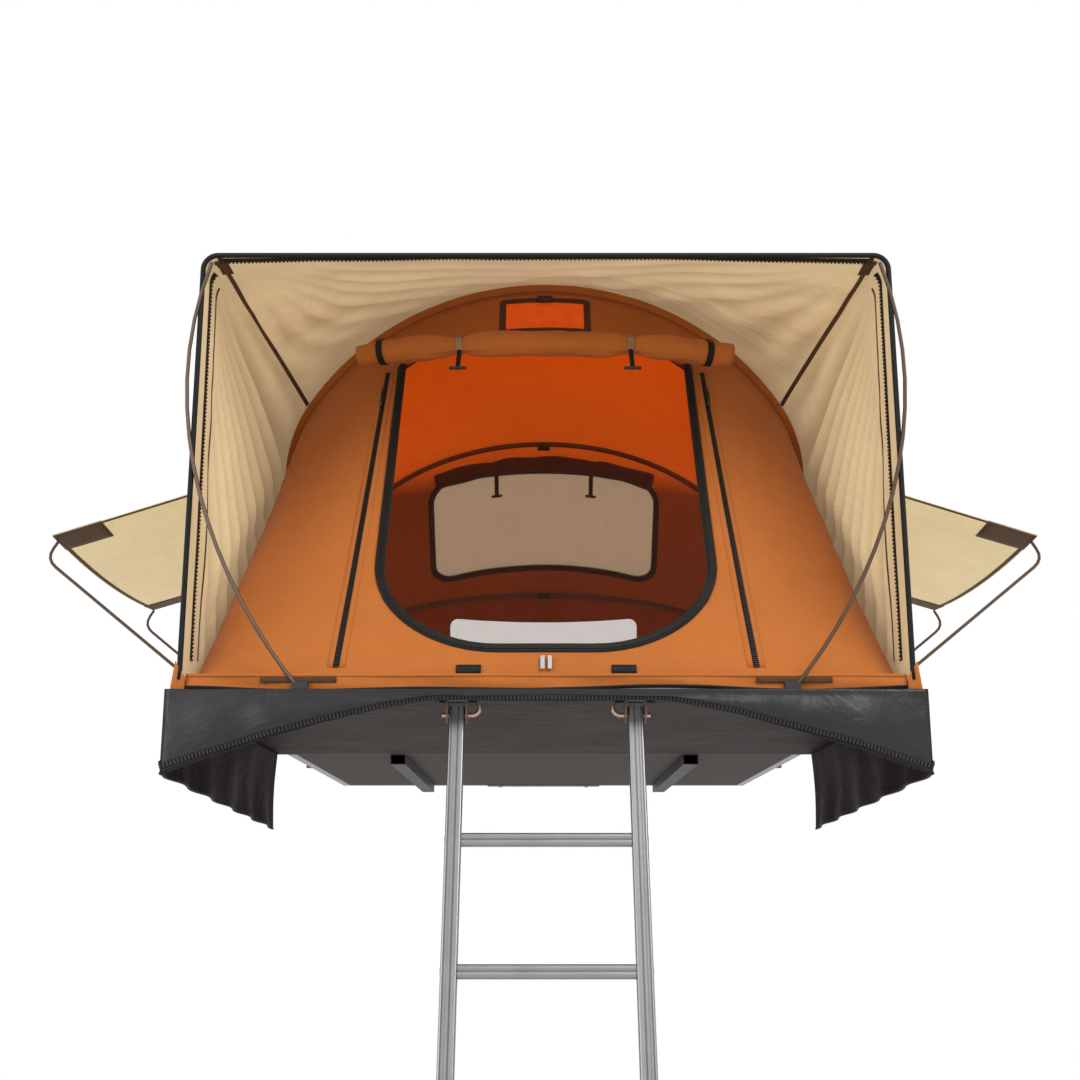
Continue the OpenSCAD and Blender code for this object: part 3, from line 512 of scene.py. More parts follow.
class Surface:
    """The outside of a sheet, to lay trim on."""

    def __init__(self, grid, inside=INSIDE):
        self.grid, self.normal = grid, grid_normals(grid, inside)
        faces = quads(*grid.shape[:2])[:, TURNED].tolist()
        self.tree = BVHTree.FromPolygons([tuple(p) for p in grid.reshape(-1, 3)], faces)

    def on_wall(self, flat, lift=0.0, wall=WALL):
        """Points and normals of the surface at places x, v on a plane that stands before it."""
        base, up, out = wall
        points, normals, ahead = [], [], out * 0.4
        for x, v in flat:
            start = base + np.array([x, 0, 0]) + up * v + ahead
            hit, normal, _, _ = self.tree.ray_cast(Vector(start), Vector(-out))
            if hit is None:
                hit, normal, _, _ = self.tree.find_nearest(Vector(start - ahead))
            normal = np.array(normal)
            if normal @ out < 0:
                normal = -normal
            points.append(np.array(hit) + normal * lift)
            normals.append(normal)
        return np.array(points), np.array(normals)

    def at(self, columns, rows, lift=0.0):
        """Points and normals at columns and rows of the grid, which may be fractions."""
        c, r = np.broadcast_arrays(np.asarray(columns, float), np.asarray(rows, float))
        c0 = np.clip(c.astype(int), 0, self.grid.shape[1] - 2)
        r0 = np.clip(r.astype(int), 0, self.grid.shape[0] - 2)
        fc, fr = (c - c0)[:, None], (r - r0)[:, None]

        def row(g, k):
            return g[k, c0] * (1 - fc) + g[k, c0 + 1] * fc

        p, n = (row(g, r0) * (1 - fr) + row(g, r0 + 1) * fr for g in (self.grid, self.normal))
        n = unit(n)
        return p + n * lift, n * (1 if lift >= 0 else -1)

    def strip(self, columns, rows, lift, kind):
        """A ribbon along columns and rows."""
        return ribbon(*self.at(columns, rows, lift), kind)

    def seams(self, kind):
        """Ribbons from row to row, where the shoulders meet the crown."""
        rows = np.arange(len(self.grid) - 1.0)
        return [self.strip(c, rows, LIFT, kind) for c in SEAMS]


def even(points, normals, pitch):
    """The same line with its points a pitch apart."""
    far = run(points)
    at = np.linspace(0, far[-1], max(2, int(far[-1] / pitch) + 1))
    p, n = (np.stack([np.interp(at, far, a[:, k]) for k in range(3)], 1) for a in (points, normals))
    return p, unit(n)


def rounded(width, low, high, r):
    """The door's outline on the wall, open at its top: down the left, round and up the right."""
    left = [(-width / 2, high - (high - low - r) * i / 24) for i in range(25)]
    for a in np.linspace(0, math.pi / 2, 15)[1:]:
        left.append((-width / 2 + r - r * math.cos(a), low + r - r * math.sin(a)))
    mid = [(x, low) for x in np.linspace(-width / 2 + r, width / 2 - r, 12)[1:-1]]
    return left + mid + [(-x, v) for x, v in reversed(left)]


# Finishes


def feed(tree, slot, value):
    """Links a value to a socket or sets it there; a colour gets its alpha."""
    if isinstance(value, Line):
        tree.links.new(value.socket, slot)
    elif isinstance(value, tuple) and len(value) == 3 and len(slot.default_value) == 4:
        slot.default_value = (*value, 1.0)
    else:
        slot.default_value = value


class Line:
    """A value on its way through a material, so that its maths reads as sums."""

    def __init__(self, tree, socket):
        self.tree, self.socket = tree, socket

    def _sum(self, operation, *values):
        node = self.tree.nodes.new("ShaderNodeMath")
        node.operation = operation
        for slot, value in zip(node.inputs, values):
            feed(self.tree, slot, value)
        return Line(self.tree, node.outputs[0])

    def __add__(self, other):
        return self._sum("ADD", self, other)

    def __rsub__(self, other):
        return self._sum("SUBTRACT", other, self)

    def __mul__(self, other):
        return self._sum("MULTIPLY", self, other)

    def __pow__(self, other):
        return self._sum("POWER", self, other)

    def wave(self):
        return self._sum("SINE", self)

    def size(self):
        return self._sum("ABSOLUTE", self)


class Finish:
    """A material in the making, round one Principled shader."""

    def __init__(self, name, **plain):
        self.material = bpy.data.materials.new(name)
        self.material.use_nodes = True
        self.tree = self.material.node_tree
        self.tree.nodes.clear()
        self.shader = self.tree.nodes.new("ShaderNodeBsdfPrincipled")
        out = self.tree.nodes.new("ShaderNodeOutputMaterial")
        self.tree.links.new(self.shader.outputs[0], out.inputs[0])
        for socket, value in plain.items():
            self.set(socket.replace("_", " "), value)

    def set(self, socket, value):
        feed(self.tree, self.shader.inputs[socket], value)

    def node(self, kind, settings=None, sockets=None, out=0):
        """One node: its settings first, then the values or links of its sockets."""
        node = self.tree.nodes.new(kind)
        for key, value in (settings or {}).items():
            setattr(node, key, value)
        for key, value in (sockets or {}).items():
            feed(self.tree, node.inputs[key], value)
        return Line(self.tree, node.outputs[out])

    def place(self, stretch=(1, 1, 1), uv=False):
        start = self.node("ShaderNodeTexCoord", out=2 if uv else 3)
        return self.node("ShaderNodeMapping", None, {"Vector": start, "Scale": stretch})

    def cloud(self, scale, detail=3.0, stretch=(1, 1, 1), twist=0.0):
        sockets = {"Vector": self.place(stretch), "Scale": scale, "Detail": detail}
        return self.node("ShaderNodeTexNoise", None, {**sockets, "Distortion": twist})

    def mix(self, factor, a, b):
        return self.node("ShaderNodeMix", {"data_type": "RGBA"}, {0: factor, 6: a, 7: b}, 2)

    def tint(self, factor, colour, dark, light):
        """A colour that runs from a darker to a lighter shade."""
        return self.mix(factor, shade(colour, dark), shade(colour, light))

    def bump(self, height, strength, distance, under=None):
        sockets = {"Height": height, "Strength": strength, "Distance": distance}
        if under is not None:
            sockets["Normal"] = under
        return self.node("ShaderNodeBump", None, sockets)

    def axis(self, k, uv=True):
        return self.node("ShaderNodeSeparateXYZ", None, {0: self.place(uv=uv)}, k)

    def wave(self, k, pitch):
        """Waves a pitch apart across (0) or along (1) the cloth."""
        return (self.axis(k) * (WHOLE_TURN / pitch)).wave()

    def waves(self, pitch):
        return self.wave(0, pitch), self.wave(1, pitch)

    def glow(self, colour, strength):
        """Painted light: an emission that stands in for light shining through the cloth or net."""
        if strength:
            self.set("Emission Color", colour)
            self.set("Emission Strength", strength)


def shade(colour, k):
    return tuple(min(1.0, c * k) for c in colour)


# Painted shade in the folds, as shares of the cloth's colour.
FOLD_SHADE = (0.42, 0.36, 0.3)


def cloth_finish(
    name, colour, weave=0.004, crumple=0.5, crumple_size=0.12, tone=0.16, rough=0.8, sheen=0.25,
    glow=0.0, painted_shade_below=None, folds=0.0,
):
    """Woven cloth: threads from its UV, soft crumples and clouds of tone from its place."""
    f = Finish(
        name, Roughness=rough, Sheen_Weight=sheen, Sheen_Roughness=0.5, Specular_IOR_Level=0.25
    )
    across, along = f.waves(weave)
    threads = across * 0.5 + along * 0.5
    across, along = f.waves(weave * 6)
    ripstop = across.size() ** 24.0 + along.size() ** 24.0
    cloud, soil = f.cloud(1 / (crumple_size * 3), 4.0), f.cloud(22.0, 2.0, twist=0.6)
    base = f.tint(cloud, colour, 1 - tone, 1 + tone)
    base = f.mix(soil * 0.35, base, shade(colour, 1 - 2 * tone))
    base = f.mix(ripstop * 0.06, base, shade(colour, 1.35))
    # Painted shade: below a band of UV v the colour darkens to a dim tint of itself.
    if painted_shade_below:
        sockets = {"Value": f.axis(1), "From Min": painted_shade_below[0], "From Max": painted_shade_below[1]}
        up = f.node("ShaderNodeMapRange", None, sockets)
        base = f.mix(up, f.tint(cloud, colour, 0.16, 0.3), base)
    # Painted shade: the colour darkens towards FOLD_SHADE where the fold attribute is deep.
    if folds:
        deep = f.node("ShaderNodeAttribute", {"attribute_name": "fold"}, None, 2)
        base = f.mix(deep * folds, base, tuple(c * k for c, k in zip(colour, FOLD_SHADE)))
    f.set("Base Color", base)
    near = f.bump(f.cloud(1 / crumple_size, twist=0.3), crumple, 0.012)
    f.set("Normal", f.bump(threads + ripstop * 0.5, 0.18, 0.0004, near))
    f.set("Roughness", soil * 0.16 + (rough - 0.08))
    # Painted light: the cloth glows in its own colour, for daylight shining through it.
    f.glow(base, glow)
    return f.material


def tape_finish(name, code, rib=0.0022, rough=0.62):
    """Woven tape: ribs across its run."""
    f = Finish(name, Roughness=rough, Sheen_Weight=0.05, Specular_IOR_Level=0.25)
    ribs, edge = f.wave(1, rib), f.wave(0, rib * 1.7)
    worn = f.cloud(45.0)
    f.set("Base Color", f.tint(worn, paint(code), 0.75, 1.5))
    f.set("Roughness", worn * 0.2 + (rough - 0.1))
    f.set("Normal", f.bump(ribs + edge * 0.5, 0.35, 0.0005))
    return f.material


ALONG_X, ALONG_Z = (3, 260, 260), (260, 260, 3)


def metal_finish(name, code, rough, grain, scuff=0.14, groove=0.0):
    """Drawn metal: grain along its length, dull scuffs and, on rails, painted shade lines for
    grooves a pitch apart.
    """
    f, colour = Finish(name, Metallic=1.0, Roughness=rough), paint(code)
    lines, dull = f.cloud(1.0, 2.0, grain), f.cloud(9.0, 5.0, twist=0.8)
    base = f.tint(dull, colour, 0.84, 1.08)
    if groove:
        # Painted shade: thin dark lines a pitch apart, for the shade in the rails' grooves.
        dark = (f.axis(0, False) * (math.pi / groove)).wave().size() ** 14.0
        base = f.mix(dark * 0.75, base, shade(colour, 0.2))
    f.set("Base Color", base)
    f.set("Roughness", dull * scuff + lines * 0.1 + (rough - 0.1))
    f.set("Normal", f.bump(lines, 0.12, 0.0006))
    return f.material


def moulded_finish(name, code, rough=0.5, grain=900.0, deep=0.2):
    """Moulded plastic or rubber: a fine grain with rubbed places."""
    f = Finish(name, Roughness=rough)
    pits, rubbed = f.cloud(grain, 2.0), f.cloud(14.0, 4.0)
    f.set("Base Color", f.tint(rubbed, paint(code), 0.8, 1.35))
    f.set("Roughness", rubbed * 0.2 + (rough - 0.1))
    f.set("Normal", f.bump(pits, deep, 0.0006))
    return f.material


def pvc_finish(name, code, rough, coat, crumple, shine):
    """Coated cover cloth: glossy, with a scrim that shows through and soft creases."""
    f = Finish(name, Roughness=rough, Coat_Roughness=0.2, Specular_IOR_Level=shine)
    across, along = f.waves(0.003)
    creases, dust = f.cloud(9.0, 4.0, twist=1.2), f.cloud(4.0, 6.0)
    f.set("Base Color", f.tint(dust, paint(code), 0.7, 1.6))
    f.set("Coat Weight", coat)
    f.set("Roughness", dust * 0.18 + (rough - 0.06))
    f.set("Normal", f.bump(across + along, 0.1, 0.0004, f.bump(creases, crumple, 0.012)))
    return f.material


def screen_finish(name, code, cover, glow=0.0):
    """Insect screen: a fine net that lets most of the light by."""
    f = Finish(name, Roughness=0.7)
    across, along = f.waves(0.0045)
    net = across.size() ** 3.0 + along.size() ** 3.0
    f.set("Alpha", net * (cover * 0.55) + cover * 0.45)
    tint = f.tint(f.cloud(30.0, 2.0), paint(code), 0.8, 1.2)
    f.set("Base Color", tint)
    # Painted light: the net glows in its own tint, for daylight shining through it.
    f.glow(tint, glow)
    return f.material


def board_finish(name, code):
    """Panel sheet: a raised pebble pattern."""
    f = Finish(name, Roughness=0.6, Specular_IOR_Level=0.1)
    sockets = {"Vector": f.place(), "Scale": 160.0}
    cells = f.node("ShaderNodeTexVoronoi", {"feature": "F1"}, sockets)
    f.set("Base Color", f.tint(f.cloud(6.0, 4.0), paint(code), 0.8, 1.3))
    f.set("Normal", f.bump(1.0 - cells, 0.35, 0.0012))
    return f.material


FINISH = {}


def mix_finishes(tent):
    canvas, lining, fly = (
        tuple(c) for c in (tent.canvas_colour, tent.lining_colour, tent.fly_colour)
    )
    dim = {"crumple": 0.35, "sheen": 0.05}
    ripstop = (0.003, 0.4, 0.05)
    FINISH.update(
        canvas=cloth_finish("canvas_outside", canvas, crumple=0.45, sheen=0.08),
        canvas_in=cloth_finish("canvas_inside", lining, tone=0.2, glow=0.62, **dim),
        canvas_dim=cloth_finish("canvas_in_shade", shade(lining, 0.34), glow=0.16, **dim),
        # Painted shade: the rear lining is dim low down and lit above its band of UV v.
        canvas_rear=cloth_finish("canvas_rear_inside", lining, glow=0.5, painted_shade_below=(0.42, 0.5), **dim),
        flap=cloth_finish("flap_cloth", paint("#3a1c10"), crumple=0.4, sheen=0.05),
        fly=cloth_finish("rainfly_outside", fly, *ripstop, 0.07, 0.68, 0.1, folds=0.3),
        fly_in=cloth_finish("rainfly_inside", fly, *ripstop, 0.1, 0.68, 0.1, 0.3, folds=0.8),
        foam=cloth_finish("mattress_cover", paint("#b8ab93"), 0.005, 0.3, 0.2, 0.06, 0.85, 0.4),
        tape=tape_finish("black_tape", "#0b0b0c"),
        brown=tape_finish("brown_tape", "#4b3320", 0.003, 0.7),
        tan=tape_finish("tan_tape", "#8d7451", 0.003, 0.75),
        thread=tape_finish("sewing_thread", "#6a4a2a", 0.002),
        zip=moulded_finish("zip_teeth", "#0c0c0d"),
        plastic=moulded_finish("black_moulding", "#202022"),
        rubber=moulded_finish("foot_rubber", "#1c1c1c", 0.75, 600.0, 0.35),
        hoop=moulded_finish("hoop_coat", "#4a3a2c", 0.45, 500.0),
        rod=moulded_finish("rod_coat", "#4c3624", 0.35, 700.0, 0.1),
        pvc=pvc_finish("cover_outside", "#141416", 0.36, 0.12, 0.5, 0.4),
        pvc_in=pvc_finish("cover_inside", "#231817", 0.6, 0.0, 0.45, 0.08),
        ladder=metal_finish("ladder_rungs", "#98989a", 0.34, ALONG_X),
        rail=metal_finish("ladder_rails", "#98989a", 0.34, ALONG_Z, groove=0.0125),
        edge=metal_finish("edge_aluminium", "#8d8f92", 0.4, ALONG_X),
        channel=metal_finish("channel_coat", "#2a2728", 0.5, ALONG_X),
        steel=metal_finish("bracket_steel", "#76645a", 0.42, (60, 60, 60), 0.2),
        pin=metal_finish("pin_steel", "#c49f8b", 0.25, (200, 60, 60)),
        bright=metal_finish("bright_steel", "#c9cacc", 0.2, (60, 60, 60)),
        board=board_finish("panel_board", "#2a201f"),
        screen=screen_finish("door_net", "#4a2410", 0.10),
        rear_screen=screen_finish("window_net", "#a89d8c", 0.3, 0.55),
        vent=screen_finish("vent_net", "#c4490c", 0.9, 0.55),
    )


# Things that repeat

SHAPES = {
    "teeth": ("GeometryNodeMeshCube", {"Size": (1, 1, 1)}),
    "screws": ("GeometryNodeMeshCylinder", {"Vertices": 16, "Radius": 0.5, "Depth": 1.0}),
    "stitches": ("GeometryNodeMeshIcoSphere", {"Radius": 0.5, "Subdivisions": 1}),
}
TREES = {}


def row_tree(kind):
    """Geometry nodes that set one small shape on each point of a line, along it and out from it."""
    tree = bpy.data.node_groups.new("row_of_" + kind, "GeometryNodeTree")
    for word, way, sort in (
        ("Geometry", "INPUT", "Geometry"), ("Size", "INPUT", "Vector"),
        ("Finish", "INPUT", "Material"), ("Geometry", "OUTPUT", "Geometry"),
    ):
        tree.interface.new_socket(word, in_out=way, socket_type="NodeSocket" + sort)
    new, link = tree.nodes.new, tree.links.new
    start, stop, shape = new("NodeGroupInput"), new("NodeGroupOutput"), new(SHAPES[kind][0])
    for socket, value in SHAPES[kind][1].items():
        shape.inputs[socket].default_value = value
    spread, coat = new("GeometryNodeInstanceOnPoints"), new("GeometryNodeSetMaterial")
    real, turns = new("GeometryNodeRealizeInstances"), None
    for word, axis, pivot in (("along", "X", "AUTO"), ("out", "Z", "X")):
        read = new("GeometryNodeInputNamedAttribute")
        read.data_type = "FLOAT_VECTOR"
        read.inputs["Name"].default_value = word
        turn = new("FunctionNodeAlignRotationToVector")
        turn.axis, turn.pivot_axis = axis, pivot
        link(read.outputs["Attribute"], turn.inputs["Vector"])
        if turns is not None:
            link(turns.outputs[0], turn.inputs["Rotation"])
        turns = turn
    link(start.outputs["Geometry"], spread.inputs["Points"])
    link(shape.outputs[0], spread.inputs["Instance"])
    link(turns.outputs[0], spread.inputs["Rotation"])
    link(start.outputs["Size"], spread.inputs["Scale"])
    link(spread.outputs[0], real.inputs[0])
    link(real.outputs[0], coat.inputs["Geometry"])
    link(start.outputs["Finish"], coat.inputs["Material"])
    link(coat.outputs[0], stop.inputs[0])
    return tree


def row_of(kind, name, lines, pitch, size, finish):
    """A row of teeth, stitches or screws on lines of points and normals, as one plain mesh."""
    points, ways = [], {"along": [], "out": []}
    for p, n in lines:
        if pitch:
            p, n = even(p, n, pitch)
        points += list(p)
        ways["along"] += list(unit(np.gradient(p, axis=0)))
        ways["out"] += list(n)
    mesh = bpy.data.meshes.new(name)
    mesh.from_pydata([tuple(p) for p in points], [], [])
    for word, values in ways.items():
        layer = mesh.attributes.new(word, "FLOAT_VECTOR", "POINT")
        layer.data.foreach_set("vector", np.asarray(values, np.float32).ravel())
    obj = put(name, mesh)
    if kind not in TREES:
        TREES[kind] = row_tree(kind)
    mod = obj.modifiers.new("row", "NODES")
    mod.node_group = TREES[kind]
    inputs = [s for s in TREES[kind].interface.items_tree if s.in_out == "INPUT"]
    keys = {s.name: s.identifier for s in inputs}
    mod[keys["Size"]], mod[keys["Finish"]] = size, FINISH[finish]
    settle(obj)
    for word in ways:
        if word in obj.data.attributes:
            obj.data.attributes.remove(obj.data.attributes[word])
    return obj


def teeth(p, n, kind):
    """Zip teeth that rise over a line."""
    rise, pitch, size, finish = TEETH[kind]
    return row_of("teeth", "teeth", [(p + n * rise, n)], pitch, size, finish)


# How cloth goes with the frame


def dress(obj, nodes):
    """Hides the CAD nodes that a piece takes the place of."""
    if nodes:
        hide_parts(*nodes)
    return obj


def fixed(obj, body, slot, *nodes):
    """A piece that rides one body."""
    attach(obj, body)
    return dress(obj, nodes)


def sewn(obj, span, slot, *nodes):
    """A piece of cloth sewn between two bodies, its place baked into its mesh."""
    a, b = SPANS[span]
    if span in TURNS:
        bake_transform(obj)
    else:
        start, end = (np.array([0, *crown(body.replace("_bow", ""))]) for body in (a, b))
        ends = (tuple(start + share * (end - start)) for share in (TURN_FROM, TURN_TO))
        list(ends)
        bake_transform(obj)
    return dress(obj, nodes)


def flattened(obj, body, axis, anchor, keep, slot, *nodes):
    """A piece that rides one body, with a mesh of its own."""
    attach(obj, body)
    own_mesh(obj)
    return dress(obj, nodes)


def cut_area(grid):
    """Area of a grid of points, in square metres."""
    d1, d2 = grid[1:, 1:] - grid[:-1, :-1], grid[1:, :-1] - grid[:-1, 1:]
    return float(np.linalg.norm(np.cross(d1, d2), axis=2).sum() / 2)


def declare(obj, grid, on, less=0.0):
    """Works out the area that a piece of cloth was cut to, and keeps it nowhere."""
    u, v = lengths(grid)
    wide, long = float((u.max(1) - u.min(1)).max()), float(v.max(0).max())
    area = max(min(cut_area(grid) - less, wide * long), 0.301 * wide * long)


# Shapes of cloth


def shaped(grid, lift, inside=INSIDE):
    """A grid moved along its normals."""
    return grid + grid_normals(grid, inside) * lift[..., None]


def skin(a, b, rows, sag, crease, seed):
    """Cloth from one line to another: drawn in, creased, and flat where it is sewn."""
    grid = loft(a, b, rows)
    u, v = lengths(grid)
    hold = np.sin(np.pi * np.linspace(0, 1, rows))[:, None]
    folds = rumple(u, v, 0.22, 0.5, seed) + 0.5 * ridge(rumple(u, v, 0.4, 0.25, seed + 0.5)) - 0.3
    return shaped(grid, hold * (crease * folds - sag))


def pillow(low, high, r, steps=8):
    """A rounded rectangle from its low to its high corner, as a closed line of places."""
    x0, y0, x1, y1 = low[0] + r, low[1] + r, high[0] - r, high[1] - r
    out = []
    for k, centre in enumerate(((x1, y1), (x0, y1), (x0, y0), (x1, y0))):
        out += [arc(centre, r, math.pi * 0.5 * (k + i / steps)) for i in range(steps + 1)]
    fine = []
    for a, b in zip(out, out[1:] + out[:1]):
        n = max(1, int(math.dist(a, b) / 0.03))
        fine += [tuple(np.array(a) + (np.array(b) - a) * k / n) for k in range(n)]
    return fine


def on_plane(flat, wall):
    base, up, _ = wall
    return np.array([base + np.array([x, 0, 0]) + up * v for x, v in flat])


def net(name, surface, wall, span, low, high, finish, *nodes):
    """A net behind an opening."""
    xs, vs = np.linspace(low[0], high[0], 30), np.linspace(low[1], high[1], 24)
    points, _ = surface.on_wall([(x, v) for v in vs for x in xs], 0.0, wall)
    grid = points.reshape(len(vs), len(xs), 3)
    obj = sewn(sheet(name, grid, INSIDE, [finish], 0.0004), span, "mesh", *nodes)
    declare(obj, grid, ["canvas_" + span])


# Pieces


def hung_canvas(name, grid, body, on, *nodes, thick=0.0016):
    """Canvas that hangs from one body."""
    obj = sheet(name, grid, INSIDE, ("canvas", "canvas_in"), thick)
    declare(fixed(obj, body, "canvas", *nodes), grid, [on])


class TENT_OT_canvas(bpy.types.Operator):
    """Sew the canvas from hoop to hoop, with the rear window"""

    bl_idname = "tent.canvas"
    bl_label = "Canvas"

    def execute(self, context):
        sag = context.scene.tent.canvas_sag
        lines = [deck_line(1), *(hoop_line(hoop, CANVAS_OFF) for hoop in HOOPS)]
        mid = math.radians(42)
        out = np.array([0, math.cos(mid), math.sin(mid)])
        up = np.array([0, -math.sin(mid), math.cos(mid)])
        plane = (np.array(FOLD_PIN) + out * REACH * 0.966, up, out)
        back = tuple(np.array(v, float) for v in ((0, 0.59, 0), UP, (0, 1, 0)))
        window, slit = pillow(*WINDOW), pillow(*SLIT)
        # The low lining is a copy in painted shade, and the rear lining has painted shade low down.
        linings = ("canvas_dim", "canvas_rear", "canvas_in", "canvas_in")
        for k, (span, lining) in enumerate(zip(SPANS, linings)):
            grid = skin(lines[k], lines[k + 1], 26, sag, sag, 1.0 + k)
            obj = sheet("canvas_" + span, grid, INSIDE, ("canvas", lining))
            less, surface = 0.0, Surface(grid)
            if span == "rear":
                cut(obj, on_plane(window, plane), out, -0.2, 0.2)
                less = 0.26
                self.window(surface, plane, window)
            elif span == "low":
                cut(obj, on_plane(slit, back), back[2], -0.3, 0.3)
                less = 0.11
                net("low_net", surface, back, span, *NETS["low_net"])
            sewn(obj, span, "canvas", span + "_canvas")
            declare(obj, grid, [SPANS[span][1].replace("_bow", "_hoop")], less)
            bands = surface.seams("canvas_seam")
            sewn(join("canvas_seams_" + span, bands), span, "canvas")
        self.gussets()
        return {"FINISHED"}

    def gussets(self):
        """Cloth over the fold at each side, between the two halves of the canvas."""
        s, t = np.meshgrid(np.linspace(-1, 1, 30), np.linspace(0, 1, 20), indexing="ij")
        fold = 0.003 * np.cos(3 * math.pi * s) * np.sin(math.pi * t)
        y, z = FOLD_Y + s * (0.075 - 0.03 * t), DECK_Z + 0.002 + 0.19 * t
        for side, name in SIDES:
            grid = np.stack([side * (0.6925 - 0.009 * t + fold), y, z], 2)
            hung_canvas(name + "_fold_gusset", grid, "rear_base", "rear_frame", thick=0.0012)

    def window(self, surface, plane, outline):
        """The rear window: net, binding and the flap rolled up over it."""
        net("rear_window_net", surface, plane, "rear", *NETS["rear_window_net"])
        p, n = surface.on_wall(outline, -LIFT, plane)
        inner = ribbon(p, -n, "window_inside", True)
        outer = ribbon(p + n * 0.0016, n, "window_outside", True)
        sewn(join("rear_window_binding", [inner, outer]), "rear", "webbing")
        tie = 0.17
        xs = np.linspace(-0.36, 0.36, 40)
        line = [(x, 0.202 + 0.02 * math.cos(4.0 * x)) for x in xs]
        p, _ = surface.on_wall(line, -0.03, plane)
        pinch = 0.006 * np.exp(-(((np.abs(xs) - tie) / 0.02) ** 2))
        fat = 0.026 + 0.002 * np.sin(xs * 40) - pinch
        sewn(tube(p, fat, "flap", 14, (0, 1, 0), "rear_flap_roll"), "rear", "canvas")
        ties = []
        for x in (-tie, tie):
            p, n = surface.on_wall([(x, 0.21), (x, 0.175), (x, 0.135)], -0.06, plane)
            ties.append(ribbon(p, -n, "flap_tie"))
            places, radii = BARS["flap"]
            p, _ = surface.on_wall([(x + d, 0.13) for d in places], -0.062, plane)
            ties.append(tube(p, radii, "plastic"))
        sewn(join("rear_flap_toggles", ties), "rear", "black_plastic")


